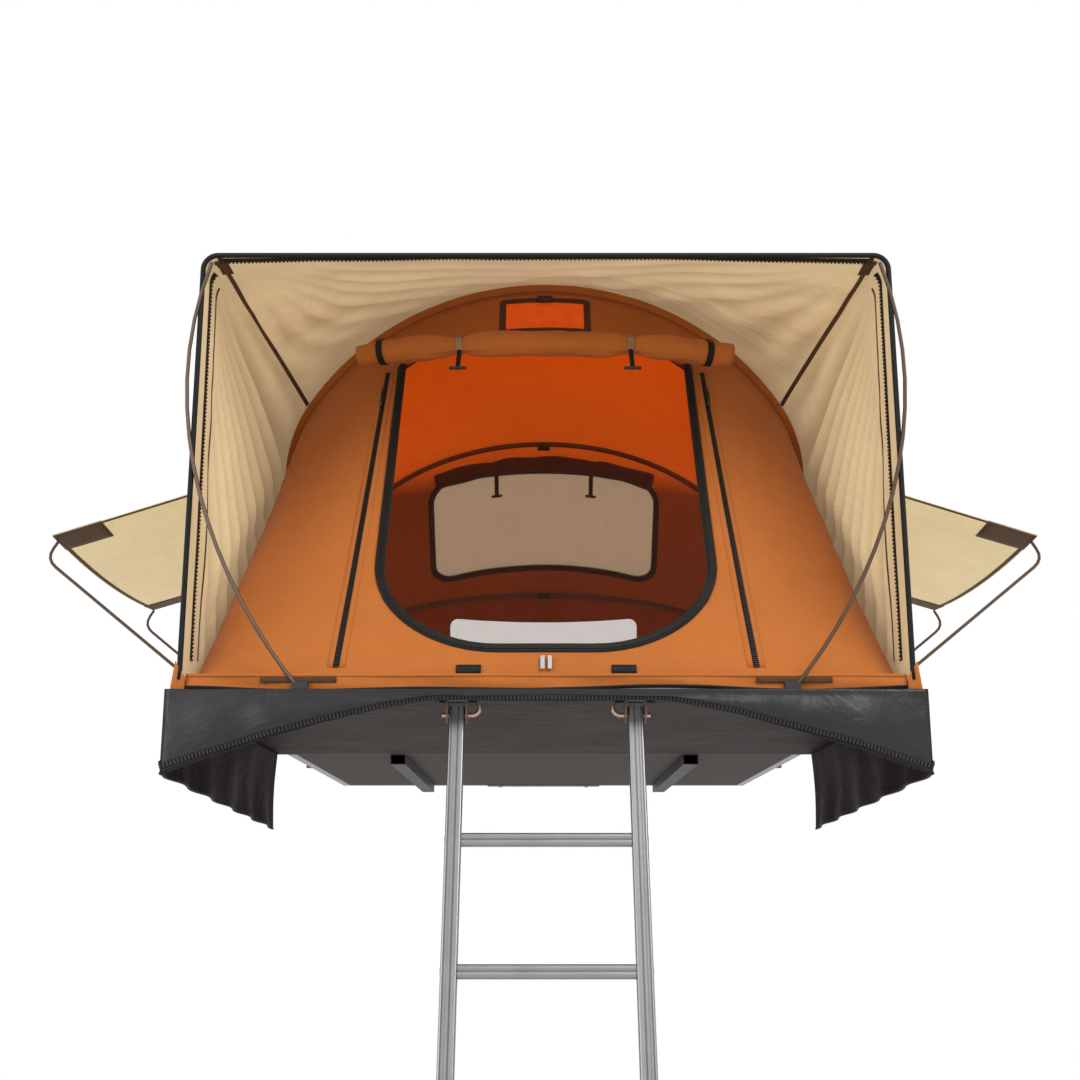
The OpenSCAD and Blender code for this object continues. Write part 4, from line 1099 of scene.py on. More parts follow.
class TENT_OT_front_wall(bpy.types.Operator):
    """Sew the front wall with its door, vent, zips, tabs and valance"""

    bl_idname = "tent.front_wall"
    bl_label = "Front Wall"

    def execute(self, context):
        door, rows = context.scene.tent_door, 60
        grid = skin(deck_line(-1), hoop_line("front", CANVAS_OFF), rows, 0.004, 0.004, 7.0)
        u, v = lengths(grid)
        crease = ridge(rumple(u - 0.5 * v, v + 0.3 * u, 0.3, 0.06, 8.0))
        crease *= smooth(0.5 + 1.5 * rumple(u, v, 0.6, 0.5, 9.0))
        hold = np.sin(np.pi * np.linspace(0, 1, rows)[:, None])
        beside = smooth((np.abs(grid[..., 0]) - 0.4) / 0.1)
        grid = shaped(grid, 0.005 * crease * hold * beside)
        surface = Surface(grid)
        obj = sheet("canvas_front_wall", grid, INSIDE, ("canvas", "canvas_in"))
        outline = rounded(door.width, door.sill, door.top, door.radius)
        vent = pillow(*VENT)
        for opening in (outline, vent):
            cut(obj, on_plane(opening, WALL), WALL_OUT, -0.15, 0.15)
        self.sew(obj, "canvas", "front_wall")
        less = door.width * (door.top - door.sill) * 0.97
        declare(obj, grid, ["front_hoop", "front_panel"], less)
        half = door.width / 2 + 0.006
        low, high = (-half, door.sill - 0.006), (half, door.top)
        net("door_net", surface, WALL, "front_wall", low, high, "screen")
        net("vent_net", surface, WALL, "front_wall", *NETS["vent_net"])
        rim = hoop_line("front", (CANVAS_OFF + FLY_OFF) / 2)[2:-2]
        ahead = repeat(FRONT_AHEAD, len(rim))
        sleeve = ribbon(rim, ahead, "sleeve", name="front_sleeve")
        fixed(sleeve, "front_bow", "canvas")
        self.bindings(surface, outline, vent, door)
        self.zips(surface, door)
        self.sill(surface)
        return {"FINISHED"}

    def sew(self, obj, slot, *nodes):
        sewn(obj, "front_wall", slot, *nodes)

    def bindings(self, surface, outline, vent, door):
        p, n = even(*surface.on_wall(outline, LIFT), 0.015)
        edge = ribbon(p, n, "door_edge", width=door.binding)
        back = ribbon(p - n * 0.0016, -n, "door_back", width=door.binding)
        row = teeth(p, n, "door_edge")
        self.sew(join("door_edge_binding", [edge, back, row]), "webbing", "door_binding")
        rim = ribbon(*surface.on_wall(vent, LIFT), "vent_rim", True)
        places, radii = BARS["vent"]
        clip, _ = surface.on_wall([(x, 1.162) for x in places], 0.006)
        self.sew(join("vent_binding", [rim, tube(clip, radii, "plastic")]), "webbing")
        lines = []
        for gap in (-0.012, 0.012):
            line = [(x * (1 + gap / 0.35), v + gap * 0.6) for x, v in outline]
            lines.append(surface.on_wall(line[2:-2], 0.0034))
        row = row_of("stitches", "door_stitches", lines, 0.008, DOOR_STITCH, "thread")
        self.sew(row, "webbing")

    def zips(self, surface, door):
        """Zips that run from the roll's ends to the deck, each with a storm strip."""
        pieces, t = [], np.linspace(0, 1, 40)
        for side, _ in SIDES:
            x = side * (door.width / 2 + 0.034 + 0.028 * t)
            p, n = surface.on_wall(list(zip(x, 0.985 - 0.95 * t)), LIFT)
            pieces.append(ribbon(p, n, "storm_strip"))
            pieces.append(ribbon(p + n * 0.001, n, "door_zip"))
            pieces.append(teeth(p, n, "door_zip"))
            places, radii = BARS["slider"]
            slider, _ = surface.on_wall(list(zip(x[2:6], places)), 0.0075)
            pieces.append(tube(slider, radii, "zip"))
        self.sew(join("door_side_zips", pieces), "webbing", "door_zips")

    def sill(self, surface):
        """Webbing tabs, and the strip of canvas over the front edge."""
        tabs, ends = [], [1, -2]
        for side, _ in SIDES:
            line = [(side * 0.15 + d, 0.028) for d in np.linspace(-0.024, 0.024, 8)]
            p, n = surface.on_wall(line, 0.001)
            tabs.append(ribbon(p, n, "sill_tab"))
            line = (p[ends] + n[ends] * 0.0034, n[ends])
            tabs.append(row_of("stitches", "sewing", [line], 0.006, TAB_STITCH, "thread"))
        self.sew(join("sill_tabs", tabs), "webbing", "hook_tabs")
        low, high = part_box("front_valance")
        xs = np.linspace(low[0], high[0], 150)
        hem = 0.036 + 0.004 * np.sin(xs * 5.1 + 0.6) * np.cos(xs * 3.0) - 0.003 * np.cos(xs * 13)
        rows, top = [], 8
        for k in range(top + 1):
            wave = 0.0016 * (1 + np.cos(xs * WHOLE_TURN / 0.34 + 0.4 * k))
            wave += 0.001 * np.sin(xs * 47) * (1 - k / top)
            rows.append(np.stack([xs, END_Y - 0.0014 - wave, hem + (0.062 - hem) * k / top], 1))
        hung_canvas("valance_cloth", np.stack(rows), "front_base", "front_frame", "front_valance")
        slits = []
        for side, _ in SIDES:
            line = [(side * x, END_Y - 0.0062, 0.053) for x in np.linspace(0.4, 0.545, 12)]
            slits.append(ribbon(line, repeat((0, -1, 0), 12), "rod_slit"))
        fixed(join("rod_slits", slits), "front_base", "webbing")
        for name, row, finish in (("valance_hem", 0, "tape"), ("valance_top", top, "canvas")):
            fixed(tube(rows[row], 0.0034, finish, 8, name=name), "front_base", "webbing")


ROLL_HALF, ROLL_R, ROLL_TIE, ROLL_END = 0.44, 0.033, 0.2, 0.385


class TENT_OT_door_roll(bpy.types.Operator):
    """Roll the door up over its opening and tie it"""

    bl_idname = "tent.door_roll"
    bl_label = "Door Roll"

    def execute(self, context):
        sides = 40
        xs, turn = np.linspace(-ROLL_HALF, ROLL_HALF, 111), full_turn(sides)
        path = np.array([self.middle(x) for x in xs])
        off = [np.abs(xs - side * ROLL_TIE) for side, _ in SIDES]
        pinch = sum(np.exp(-((d / 0.036) ** 1.5)) for d in off)
        drawn = sum(np.exp(-d / 0.06) for d in off)[:, None]
        fat = ROLL_R * (1 - 0.4 * pinch - 0.12 * np.abs(xs / ROLL_HALF) ** 2.5)
        b, a = cross_axes(path, WALL_UP)
        x, around = np.meshgrid(xs, turn, indexing="ij")
        slack = rumple(x, around * 0.2, 0.05, 0.25, 4.0)
        lap = ((turn - 3.6) % WHOLE_TURN) / WHOLE_TURN
        spokes = np.sin(9 * around + 30 * np.abs(np.abs(x) - ROLL_TIE) + 2 * slack)
        loose = 0.15 * slack * (1 - 0.6 * pinch[:, None])
        ring = fat[:, None] * (0.91 + 0.05 * lap[None] + loose + 0.1 * spokes * drawn)
        points = swept(path, np.minimum(ring, 1.02 * ROLL_R), a, b, turn)
        roll = rings("door_rolled", points, turn * ROLL_R, xs, "canvas")
        sewn(roll, "front_wall", "canvas", "door_roll")
        bands, toggles = [], []
        for place, kind in ((ROLL_END, "roll_end"), (ROLL_TIE, "roll_tie")):
            for side, _ in SIDES:
                k = int(np.argmin(np.abs(xs - side * place)))
                out = points[k] - path[k]
                line = points[k] + out / fat[k] * 0.0012
                bands.append(ribbon(line, unit(out), kind, True))
        sewn(join("door_roll_ties", bands), "front_wall", "webbing")
        for side, _ in SIDES:
            foot = self.middle(side * ROLL_TIE) - WALL_UP * 0.017 + WALL_OUT * 0.004
            line = np.array([foot - WALL_UP * d for d in np.linspace(0, 0.066, 8)])
            line += np.array([0.002 * side, 0, 0]) * np.linspace(0, 1, 8)[:, None]
            toggles.append(ribbon(line, repeat(WALL_OUT, 8), "toggle_strap"))
            end = line[-1] - WALL_UP * 0.004 + WALL_OUT * 0.002
            places, radii = BARS["toggle"]
            toggles.append(tube([end + np.array([d, 0, 0]) for d in places], radii, "plastic"))
        toggles = join("door_roll_toggles", toggles)
        sewn(toggles, "front_wall", "black_plastic", "roll_toggles")
        return {"FINISHED"}

    def middle(self, x):
        bend = abs(x / ROLL_HALF) ** 2.5
        foot = WALL_BASE + np.array([x, 0.05 * bend, -0.012 * bend])
        return foot + WALL_UP * 0.958 + WALL_OUT * 0.0356


class TENT_OT_rainfly(bpy.types.Operator):
    """Lay the rainfly over the hoops"""

    bl_idname = "tent.rainfly"
    bl_label = "Rainfly"

    def execute(self, context):
        crease, hoops = context.scene.tent.fly_crease, list(HOOPS)
        for k, span in enumerate(("rear", "back_roof", "front_roof")):
            a, b = (hoop_line(hoop, FLY_OFF) for hoop in hoops[k : k + 2])
            grid = skin(a, b, 28, 0.004, crease, 11.0 + k)
            obj = sheet("fly_" + span, grid, INSIDE, ("fly", "fly_in"))
            sewn(obj, span, "fly", span + "_fly")
            declare(obj, grid, [hoops[k + 1] + "_hoop"])
            surface = Surface(grid)
            hem = surface.strip(np.arange(LAST + 1.0), 0.35, LIFT, "fly_seam")
            bands = [hem, *surface.seams("fly_seam")]
            sewn(join("fly_seams_" + span, bands), span, "fly")
        return {"FINISHED"}


AWNING_TOP, AWNING_Y = 0.874, -1.8047
SIDE_ZIP_ROW, TOP_ZIP_ROW, LINE_ROW = 4.6, 1.5, 8.5


class TENT_OT_front_awning(bpy.types.Operator):
    """Stretch the awning from the front hoop out to its rods"""

    bl_idname = "tent.front_awning"
    bl_label = "Front Awning"

    def execute(self, context):
        tent = context.scene.tent
        rows, inside = 72, (0, -1.4, 0.35)
        legs, shoulders = np.arange(0, LEG, 0.2), np.arange(LEG, SEAMS[0], 0.5)
        left = np.concatenate([legs, shoulders, np.arange(SEAMS[0], LAST / 2 + 0.01, 0.5)])
        columns = np.concatenate([left, LAST - left[-2::-1]])
        ends = [
            np.stack([np.interp(columns, np.arange(LAST + 1), line[:, k]) for k in range(3)], 1)
            for line in (
                upright_line(HALF_W, AWNING_TOP, AWNING_Y, DECK_Z),
                hoop_line("front", FLY_OFF + 0.0015),
            )
        ]
        grid = loft(*ends, rows)
        t = np.linspace(0, 1, rows)[:, None]
        hold = np.sin(np.pi * t) ** 0.6
        side = smooth((SEAMS[0] + 1 - np.minimum(columns, LAST - columns)[None]) / 5)
        fan, creases = self.fan(grid, t, tent.pleats), self.creases(grid, t)
        lift = hold * (1 - side) * (tent.fly_crease * creases - 0.010)
        grid = shaped(grid, lift + hold * side * tent.pleat * fan, inside)
        obj = sheet("front_awning_cloth", grid, inside, ("fly", "fly_in"), 0.002)
        # Fold depths that set the painted shade in the pleats and creases.
        mark_folds(obj, hold * (side * fan + (1 - side) * (creases - 0.3)) - 0.4)
        self.go(obj, "fly", "front_awning")
        declare(obj, grid, ["front_hoop", "front_rods"])
        self.trim(Surface(grid, inside), columns, rows)
        return {"FINISHED"}

    def fan(self, grid, t, pleats):
        """Pleats that fan out at the sides, outwards only where canvas lies behind them."""
        u, v = lengths(grid)
        down, back = DECK_Z + AWNING_TOP - grid[..., 2], grid[..., 1] - AWNING_Y
        turn = np.arctan2(back, np.maximum(down, 1e-4)) / (math.pi / 2)
        far = np.hypot(down, back)
        fan = np.sin(WHOLE_TURN * pleats * turn + 1.6 * rumple(u, v, 0.5, 0.5, 21.0))
        free = smooth(((AWNING_TOP - down) - 0.739 * back) / 0.12)
        fan = 0.5 * (1 + free) * fan + 0.5 * (1 - free)
        fan = fan * smooth((far - 0.08) / 0.4) * np.minimum(1, 0.35 + far)
        return fan * smooth((t - 0.06) / 0.18)

    def creases(self, grid, t):
        """Creases of the roof: soft folds, rays from the corners and fine wrinkles by the hoop."""
        u, v = lengths(grid)
        folds = rumple(u, v, 0.34, 0.16, 22.0) + 0.55 * ridge(rumple(u, v, 0.26, 0.11, 23.0)) - 0.4
        across, back = np.maximum(0.66 - np.abs(grid[..., 0]), 1e-4), grid[..., 1] - AWNING_Y
        spread, reach = np.arctan2(back, across) / (math.pi / 2), np.hypot(across, back)
        rays = np.sin(WHOLE_TURN * (7 * spread + 0.9 * rumple(u, v, 0.3, 0.3, 25.0)))
        rays *= smooth((reach - 0.1) / 0.3) * np.exp(-reach / 0.5)
        fine = ridge(rumple(u + 0.6 * v, v - 0.4 * u, 0.14, 0.035, 26.0))
        fine = fine * smooth(0.4 + 1.6 * rumple(u, v, 0.5, 0.4, 27.0))
        fine *= 0.3 + 0.7 * smooth((t - 0.35) / 0.3)
        return 0.8 * folds + 1.3 * rays + 0.6 * fine

    def trim(self, surface, columns, rows):
        """Seams, corner patches and lines on both faces, and the piped edge with its zips."""

        def on(at):
            return np.interp(at, columns, np.arange(len(columns)))

        def span(first, last):
            return on(np.arange(first, last + 0.01, 0.5))

        bands = []
        for lift in (-0.0012, 0.0012):
            for c, step in zip(SEAMS, (-0.75, 0.75)):
                seam = on(np.full(rows - 1, c)), np.arange(rows - 1.0)
                bands.append(surface.strip(*seam, lift, "awning_seam"))
                for k in range(5):
                    patch = on(np.full(6, c + step * k)), np.linspace(1.6, 6.4 - 0.9 * k, 6)
                    bands.append(surface.strip(*patch, lift, "awning_patch"))
            for ends in ((1, 26), (102, 127)):
                bands.append(surface.strip(span(*ends), LINE_ROW, lift, "awning_line"))
        self.go(join("awning_seams", bands), "webbing")
        p, _ = surface.at(span(0, LAST), 0.0)
        parts = [tube(p, 0.0055, "tape", 8, (0, 1, 0))]
        for first, last, row in (
            (1, 27, SIDE_ZIP_ROW), (*SEAMS, TOP_ZIP_ROW), (101, 127, SIDE_ZIP_ROW)
        ):
            p, n = surface.at(span(first, last), row)
            for m in (-n, n):
                parts.append(ribbon(p + m * 0.0011, m, "awning_zip"))
                parts.append(teeth(p, m, "awning_zip"))
        self.go(join("awning_edge", parts), "webbing")

    def go(self, obj, slot, *nodes):
        flattened(obj, "front_bow", FRONT_AHEAD, FOLD_PIN, 0.02, slot, *nodes)


class TENT_OT_side_awnings(bpy.types.Operator):
    """Hang a side awning over each side window"""

    bl_idname = "tent.side_awnings"
    bl_label = "Side Awnings"

    def execute(self, context):
        rows, columns, long = 30, 50, 0.48
        t, v = np.meshgrid(np.linspace(0, 1, rows), np.linspace(-1, 1, columns), indexing="ij")
        held = np.sin(math.pi * t) * (1 - v * v)
        sag = 0.026 * (1 - v * v) * np.sin(np.radians(120) * t)
        for side, name in SIDES:
            x = side * ((0.655 + 0.034 * np.maximum(0, -v)) * (1 - t) + 1.215 * t)
            crease = 0.006 * rumple(t * 0.6, v * long, 0.25, 0.1, 31.0 + side)
            for e in (-1, 1):
                at = (0.6, e * long)
                crease += 0.003 * pulls(t * 0.6, v * long, at, 12, 0.2, 33.0 + side + e)
            z = 0.0545 + 0.63 * (1 - t) + 0.46 * t - sag + crease * held
            grid = np.stack([x, FOLD_Y + long * v, z], 2)
            below = (side * 0.9, FOLD_Y, 0.0)
            obj = sheet(name + "_awning_cloth", grid, below, ("fly", "fly_in"))
            self.go(obj, "fly", name + "_awning")
            declare(obj, grid, ["centre_hoop", "front_side_rods", "rear_side_rods"])
            bands = self.trim(Surface(grid, below), rows, columns, below)
            self.go(join(name + "_awning_trim", bands), "webbing")
        return {"FINISHED"}

    def trim(self, surface, rows, columns, below):
        """Hems along the three free edges and patches at the two outer corners."""
        bands, cells = [], 7
        for c, r in (
            (np.arange(columns) * 0.98, 28.6),
            (0.35, np.arange(rows) * 0.98),
            (48.6, np.arange(rows) * 0.98),
        ):
            for lift in (-LIFT, LIFT):
                bands.append(surface.strip(c, r, lift, "side_hem"))
        j, i = (k.ravel() / (cells - 1) for k in np.indices((cells, cells)))
        for first, step in ((0.0, 1), (columns - 1.0, -1)):
            for lift in (-0.0012, 0.0012):
                p, _ = surface.at(first + step * 5.5 * i, rows - 1 - 6.5 * j, lift)
                grid = p.reshape(cells, cells, 3)
                bands.append(sheet("patch", grid, below, ("brown",), 0.001))
        return bands

    def go(self, obj, slot, *nodes):
        flattened(obj, "centre_bow", (0, 1, 0), FOLD_PIN, 0.04, slot, *nodes)


COVER_HALF, COVER_END, COVER_FOLD, COVER_TOP = 0.7205, -1.8245, -0.615, 0.0330
COVER_FLOOR, COVER_KNEE, COVER_HEM = 0.0222, 0.0215, 0.025


class TENT_OT_travel_cover(bpy.types.Operator):
    """Hang the opened travel cover under the front half"""

    bl_idname = "tent.travel_cover"
    bl_label = "Travel Cover"

    def execute(self, context):
        inside, under = (0, -1.2, 0.0), (0, -1.2, -1.0)
        hanging = self.hanging()
        xs, ys = np.linspace(-COVER_HALF, COVER_HALF, 60), np.linspace(COVER_END, COVER_FOLD, 50)
        x, y = np.meshgrid(xs, ys, indexing="ij")
        floor = np.stack([x, y, np.full(x.shape, COVER_FLOOR)], 2)
        finishes = ("pvc", "pvc_in")
        pieces = [sheet("side", grid, inside, finishes, 0.0016) for grid in hanging]
        pieces.append(sheet("floor", floor, under, finishes, 0.0016))
        area = sum(cut_area(grid) for grid in (*hanging, floor))
        for rail in (-0.1715, 0.1715):
            low, high = (rail - 0.037, END_Y - 0.001), (rail + 0.037, END_Y + 0.079)
            gap = np.array([(x, y, 0.0) for x, y in pillow(low, high, 0.004, 3)])
            cut(pieces[-1], gap, UP, 0.012, 0.0325)
        cover = join("cover_cloth", pieces)
        self.go(cover, "pvc", "travel_cover")
        flat, on = (1.78, 1.4), ["front_panel", "front_frame"]
        area = min(area, 0.99 * flat[0] * flat[1])
        trims = []
        for grid, row in zip(hanging, (2.0, 3.0, 3.0)):
            surface, n = Surface(grid, inside), grid.shape[1] - 1
            c = np.linspace(0, n - 0.01, 2 * n)
            trims.append(tube(surface.at(c, 0.0)[0], 0.0026, "tape", 8))
            p, m = surface.at(c, row, 0.0009)
            trims.append(ribbon(p, m, "cover_zip"))
            trims.append(teeth(p, m, "cover_zip"))
        self.go(join("cover_zip", trims), "webbing")
        return {"FINISHED"}

    def hanging(self):
        """The apron under the front edge and a flap under each side."""
        u, w = np.linspace(-1, 1, 150)[None], np.linspace(0, 1, 110)[None]
        t = np.linspace(0, 1, 26)[:, None]
        hem = COVER_HEM - (0.010 + 0.140 * np.maximum(0, (np.abs(u) - 0.3) / 0.7) ** 1.3)
        z = hem * (1 - t) + COVER_TOP * t
        below = np.clip((COVER_KNEE - z) / np.maximum(COVER_KNEE - hem, 0.004), 0, 1)
        ripple = 0.005 * np.sin(u * 17 + 0.8) + 0.004 * np.sin(u * 41)
        wave = (0.010 * np.sin(np.pi * below) + below * ripple) * np.abs(u) * (1 - np.abs(u) ** 10)
        grids = [np.stack(np.broadcast_arrays(COVER_HALF * u, COVER_END - wave, z), 2)]
        hem = COVER_HEM - 0.150 - 0.05 * w
        z = hem * (1 - t) + COVER_TOP * t
        below = np.clip((COVER_KNEE - z) / (COVER_KNEE - hem), 0, 1)
        wave = 0.010 * np.sin(np.pi * below) * (0.4 + 0.6 * np.sin(3 * math.pi * w))
        wave = (wave + 0.006 * below * np.sin(w * 34)) * smooth(w / 0.06)
        y = COVER_END + (COVER_FOLD - COVER_END) * w
        for side, _ in SIDES:
            grids.append(np.stack(np.broadcast_arrays(side * (COVER_HALF + wave), y, z), 2))
        return grids

    def go(self, obj, slot, *nodes):
        flattened(obj, "front_base", UP, (0, -1.2, COVER_FLOOR), 0.1, slot, *nodes)


class TENT_OT_mattresses(bpy.types.Operator):
    """Fill the two halves of the mattress"""

    bl_idname = "tent.mattresses"
    bl_label = "Mattresses"

    def execute(self, context):
        for half in ("rear", "front"):
            node = half + "_mattress"
            low, high = (np.array(c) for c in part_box(node))
            obj = put(node + "_pad", frame["nodes"][node].data.copy())
            obj.data.materials.clear()
            remesh = obj.modifiers.new("remesh", "REMESH")
            remesh.mode, remesh.voxel_size = "VOXEL", 0.009
            ease = obj.modifiers.new("ease", "SMOOTH")
            ease.factor, ease.iterations = 0.5, 12
            settle(obj)
            mesh = obj.data
            points = np.zeros(len(mesh.vertices) * 3)
            mesh.vertices.foreach_get("co", points)
            self.quilt(points.reshape(-1, 3), low, high)
            mesh.vertices.foreach_set("co", points)
            mesh.update()
            mesh.materials.append(FINISH["foam"])
            mesh.polygons.foreach_set("use_smooth", [True] * len(mesh.polygons))
            anchor = (0, FOLD_Y, float(low[2]))
            flattened(obj, half + "_base", UP, anchor, 0.45, "foam", node)
        return {"FINISHED"}

    def quilt(self, points, low, high):
        """Crowns and quilts the points of a pad, in place."""
        x, y, z = points.T
        edge = np.minimum(points[:, :2] - low[:2], high[:2] - points[:, :2]).min(1)
        inner = smooth(edge / 0.12)
        rise = (z - low[2]) / (high[2] - low[2])
        z += (0.004 * inner - 0.003 * (1 - inner)) * np.clip(rise, 0, 1)
        quilt = np.cos(x * WHOLE_TURN / 0.21) * np.cos(y * WHOLE_TURN / 0.21)
        z += 0.0015 * quilt * inner * (rise > 0.6)
        z[:] = np.maximum(z, low[2] + 0.0003)


# Finishes of the hard parts by their slot, and by the end of their name
FINISH_OF = {
    "board": "board", "edge_aluminium": "edge", "steel": "steel", "rod_steel": "rod",
    "black_plastic": "plastic", "hoop_tube": "hoop", "pin_steel": "pin",
    "ladder_aluminium": "ladder", "rubber": "rubber",
}
SPECIAL = {"zip_pull": "bright", "_rails": "rail", "_channels": "channel"}
LADDER_TURN = math.radians(17.8)
LADDER_DOWN = np.array([0, -math.sin(LADDER_TURN), -math.cos(LADDER_TURN)])
LADDER_BACK = np.array([0, math.cos(LADDER_TURN), -math.sin(LADDER_TURN)])
LADDER_HALF, LADDER_TOP, RUNG_PITCH = 0.1866, (-1.76, -0.009), 0.24


class TENT_OT_fittings(bpy.types.Operator):
    """Finish the hard parts, with their screws, rivets and corner gussets"""

    bl_idname = "tent.fittings"
    bl_label = "Fittings"

    def execute(self, context):
        slots = {part["node"]: part["material_slot"] for part in frame["record"]["subparts"]}
        for node, obj in frame["nodes"].items():
            if slots[node] in FINISH_OF:
                named = [SPECIAL[end] for end in SPECIAL if node.endswith(end)]
                finish = FINISH[named[0] if named else FINISH_OF[slots[node]]]
                if not obj.material_slots:
                    obj.data.materials.append(finish)
                for place in obj.material_slots:
                    place.material = finish
        self.screws()
        self.rivets()
        self.gussets()
        return {"FINISHED"}

    def heads(self, name, body, rows, size):
        """Heads of screws or rivets, in rows of points that face one way."""
        lines = [(np.array(points), repeat(way, len(points))) for points, way in rows]
        fixed(row_of("screws", name, lines, None, size, "bright"), body, "steel")

    def screws(self):
        """Frame screws along the sides and the rear end."""
        height, proud = 0.039, 0.0003
        for half, start, end in (("rear", 0.5, -0.5), ("front", -0.72, -1.7)):
            rows = []
            for side, _ in SIDES:
                x = side * (HALF_W + proud)
                rows.append(([(x, y, height) for y in np.linspace(start, end, 6)], (side, 0, 0)))
            if half == "rear":
                line = [(x, 0.6 + proud, height) for x in np.linspace(-0.6, 0.6, 7)]
                rows.append((line, (0, 1, 0)))
            self.heads(half + "_screws", half + "_base", rows, SCREW)

    def rivets(self):
        """A rivet at each end of each rung."""
        for half, first, back in (("upper", 0.25, 0.0), ("lower", 0.97, 0.026)):
            rows = []
            for side, _ in SIDES:
                top = np.array([side * LADDER_HALF, *LADDER_TOP])
                line = [
                    top + LADDER_DOWN * (first + RUNG_PITCH * k) + LADDER_BACK * back
                    for k in range(5)
                ]
                rows.append((line, (side, 0, 0)))
            self.heads(half + "_rivets", half + "_ladder", rows, RIVET)

    def gussets(self):
        """Folds of canvas at the front corners, where the wall meets the awning."""
        s, t = np.meshgrid(np.linspace(0, 1, 14), np.linspace(0, 1, 12), indexing="ij")
        y = -1.8085 - 0.003 * np.sin(3 * math.pi * s) * t
        z = 0.028 + (0.03 + 0.03 * s) * t
        for side, name in SIDES:
            grid = np.stack([side * (CANVAS_HALF + 0.028 * s * (1 - 0.3 * t)), y, z], 2)
            hung_canvas(name + "_corner_gusset", grid, "front_base", "front_frame")


class TENT_OT_stage(bpy.types.Operator):
    """Set the camera, the lamps, the floor and the backdrop"""

    bl_idname = "tent.stage"
    bl_label = "Stage"

    def execute(self, context):
        scene, stage = context.scene, context.scene.tent_stage
        camera = bpy.data.cameras.new("camera")
        camera.lens, camera.sensor_width = stage.lens, 36.0
        eye = put("camera", camera)
        eye.location, eye.rotation_euler = stage.place, (math.pi / 2 + stage.pitch, 0, 0)
        scene.camera = eye
        low, r, sides = float(CAD_LOW[2]) - 0.001, 7, 64
        rim = [(r * math.cos(a), -0.8 + r * math.sin(a), low) for a in full_turn(sides)]
        pale = Finish("pale_floor", Roughness=0.9)
        tint = pale.mix(pale.cloud(0.6, 2.0), paint("#f0efec"), paint("#f6f5f2"))
        pale.set("Base Color", tint)
        face = [tuple(range(sides))]
        mesh_of("floor", rim, face, None, None, [pale.material], False)
        for name, place, aim, size, power in (
            ("key_lamp", (2.8, -5.0, 3.8), (0, -1.2, 0.4), 3.0, stage.key),
            ("fill_lamp", (-3.4, -4.8, 1.4), (0, -1.2, 0.2), 3.0, stage.fill),
            ("roof_lamp", (0.4, -0.4, 4.4), (0, -0.8, 0.6), 3.5, stage.roof),
        ):
            lamp = bpy.data.lights.new(name, "AREA")
            lamp.size, lamp.energy = size, power
            obj = put(name, lamp)
            obj.location = place
            way = Vector(aim) - Vector(place)
            obj.rotation_euler = way.to_track_quat("-Z", "Y").to_euler()
        self.backdrop(scene, stage)
        scene.view_settings.view_transform = "Standard"
        return {"FINISHED"}

    def backdrop(self, scene, stage):
        """White where the camera sees it, also in a gloss or through cloth; softer elsewhere."""
        world = bpy.data.worlds.new("backdrop")
        world.use_nodes = True
        tree = world.node_tree
        tree.nodes.clear()
        new, link = tree.nodes.new, tree.links.new
        path, pick = new("ShaderNodeLightPath"), new("ShaderNodeMixShader")
        white, sky = ((1, 1, 1), 1.0), (tuple(stage.sky), stage.sky_light)
        for slot, (colour, strength) in zip(pick.inputs[1:], (sky, white)):
            light = new("ShaderNodeBackground")
            light.inputs["Color"].default_value = (*colour, 1)
            light.inputs["Strength"].default_value = strength
            link(light.outputs[0], slot)
        rays = ("Is Camera Ray", "Is Transmission Ray", "Is Glossy Ray")
        camera, through, gloss = (Line(tree, path.outputs[ray]) for ray in rays)
        link((camera + through + gloss).socket, pick.inputs[0])
        link(pick.outputs[0], new("ShaderNodeOutputWorld").inputs[0])
        scene.world = world


# Settings


def colour_setting(name, description, code):
    return bpy.props.FloatVectorProperty(
        name=name, description=description, subtype="COLOR", size=3, min=0.0, max=1.0,
        default=paint(code),
    )


def size_setting(name, description, default):
    return bpy.props.FloatProperty(
        name=name, description=description, default=default, unit="LENGTH", precision=4
    )


def light_setting(name, description, default):
    return bpy.props.FloatProperty(name=name, description=description, default=default)


class TentSettings(bpy.types.PropertyGroup):
    """Cloth of the tent"""

    canvas_colour: colour_setting("Canvas", "Colour of the canvas outside", "#b96a2c")
    lining_colour: colour_setting("Lining", "Colour of the canvas inside", "#cf560a")
    fly_colour: colour_setting("Rainfly", "Colour of the rainfly and the awnings", "#dbc9a0")
    canvas_sag: size_setting("Canvas Sag", "How far the canvas draws in between two hoops", 0.005)
    fly_crease: size_setting("Fly Crease", "Height of the creases in the rainfly", 0.009)
    pleat: size_setting("Pleat", "Height of the pleats at the awning's sides", 0.017)
    pleats: bpy.props.IntProperty(
        name="Pleats", description="Number of pleats at each side", default=12, min=0, max=20
    )


class TentDoorSettings(bpy.types.PropertyGroup):
    """Opening of the door"""

    width: size_setting("Width", "Width of the door's opening", 0.69)
    sill: size_setting("Sill", "Height of the sill along the wall", 0.08)
    top: size_setting("Top", "Height of the opening's top along the wall", 1.0)
    radius: size_setting("Radius", "Radius of the lower corners", 0.25)
    binding: size_setting("Binding", "Width of the tape round the opening", 0.021)


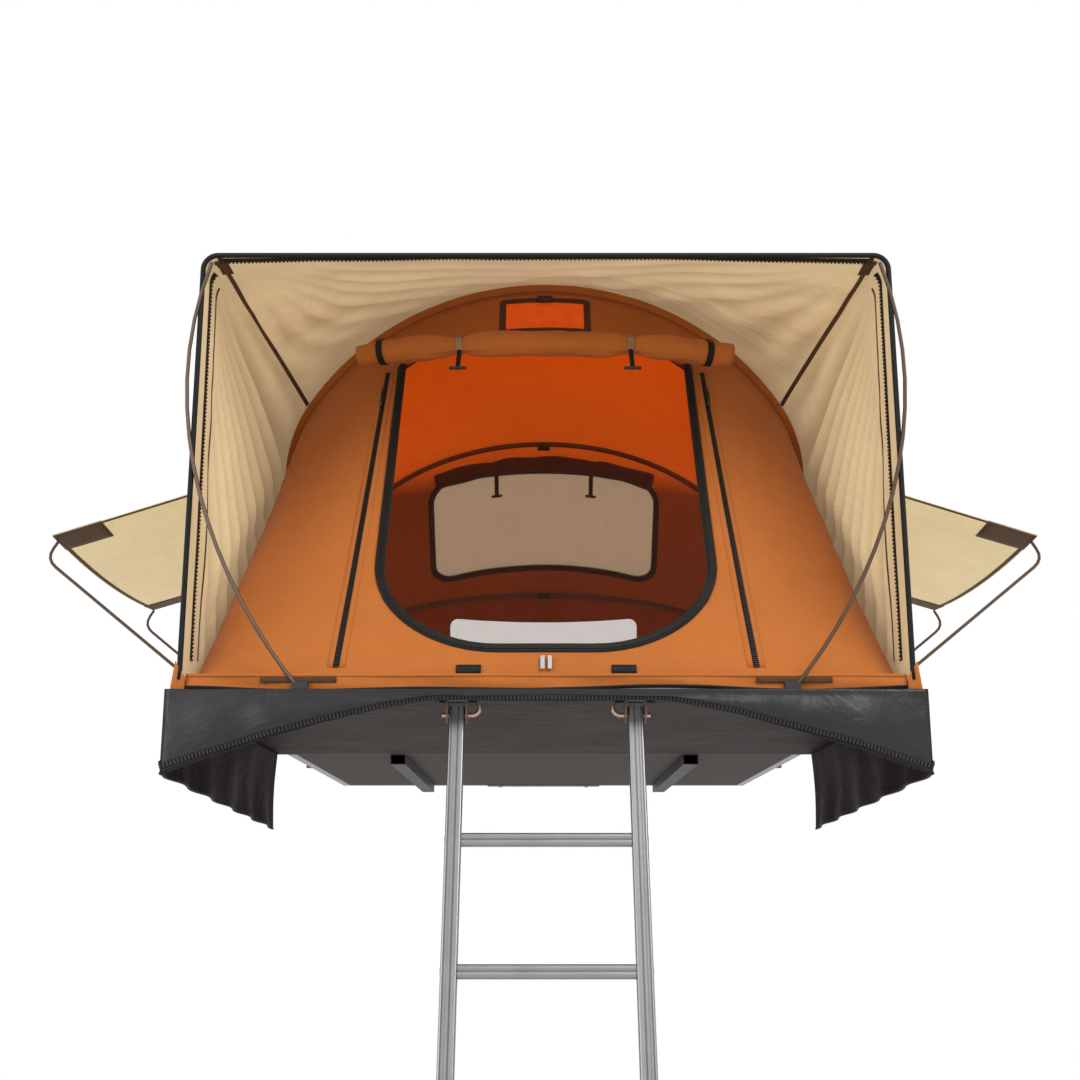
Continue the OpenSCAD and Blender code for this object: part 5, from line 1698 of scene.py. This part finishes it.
class TentStageSettings(bpy.types.PropertyGroup):
    """Camera and light"""

    lens: bpy.props.FloatProperty(
        name="Lens", description="Focal length", default=48.3, unit="CAMERA"
    )
    place: bpy.props.FloatVectorProperty(
        name="Camera", description="Place of the camera", size=3, subtype="TRANSLATION",
        default=(-0.012, -4.55, -0.342),
    )
    pitch: bpy.props.FloatProperty(
        name="Pitch", description="How far the camera looks up", subtype="ANGLE",
        default=math.radians(13.7),
    )
    key: light_setting("Key Lamp", "Power of the key lamp", 150.0)
    fill: light_setting("Fill Lamp", "Power of the fill lamp", 70.0)
    roof: light_setting("Roof Lamp", "Power of the lamp above", 48.0)
    sky: colour_setting("Sky", "Colour of the light all round", "#fffdf8")
    sky_light: light_setting("Sky Light", "Strength of the light all round", 0.75)


GROUPS = (
    ("tent", TentSettings), ("tent_door", TentDoorSettings), ("tent_stage", TentStageSettings)
)
PIECES = (
    TENT_OT_stage, TENT_OT_canvas, TENT_OT_front_wall, TENT_OT_door_roll, TENT_OT_rainfly,
    TENT_OT_front_awning, TENT_OT_side_awnings, TENT_OT_travel_cover, TENT_OT_mattresses,
    TENT_OT_fittings,
)


class TENT_PT_dresser(bpy.types.Panel):
    """Settings and pieces of the tent"""

    bl_idname = "TENT_PT_dresser"
    bl_label = "Roof Top Tent"
    bl_space_type = "VIEW_3D"
    bl_region_type = "UI"
    bl_category = "Tent"

    def draw(self, context):
        for name, group in GROUPS:
            box = self.layout.box()
            for setting in group.__annotations__:
                box.prop(getattr(context.scene, name), setting)
        for piece in PIECES:
            self.layout.operator(piece.bl_idname)


def register():
    for name, group in GROUPS:
        bpy.utils.register_class(group)
        setattr(bpy.types.Scene, name, bpy.props.PointerProperty(type=group))
    for piece in (*PIECES, TENT_PT_dresser):
        bpy.utils.register_class(piece)


def unregister():
    for piece in (TENT_PT_dresser, *reversed(PIECES)):
        bpy.utils.unregister_class(piece)
    for name, group in reversed(GROUPS):
        delattr(bpy.types.Scene, name)
        bpy.utils.unregister_class(group)


def main():
    register()
    mix_finishes(bpy.context.scene.tent)
    bpy.ops.tent.stage()
    bpy.ops.tent.canvas()
    bpy.ops.tent.front_wall()
    bpy.ops.tent.door_roll()
    bpy.ops.tent.rainfly()
    bpy.ops.tent.front_awning()
    bpy.ops.tent.side_awnings()
    bpy.ops.tent.travel_cover()
    bpy.ops.tent.mattresses()
    bpy.ops.tent.fittings()


if __name__ == "__main__":
    main()
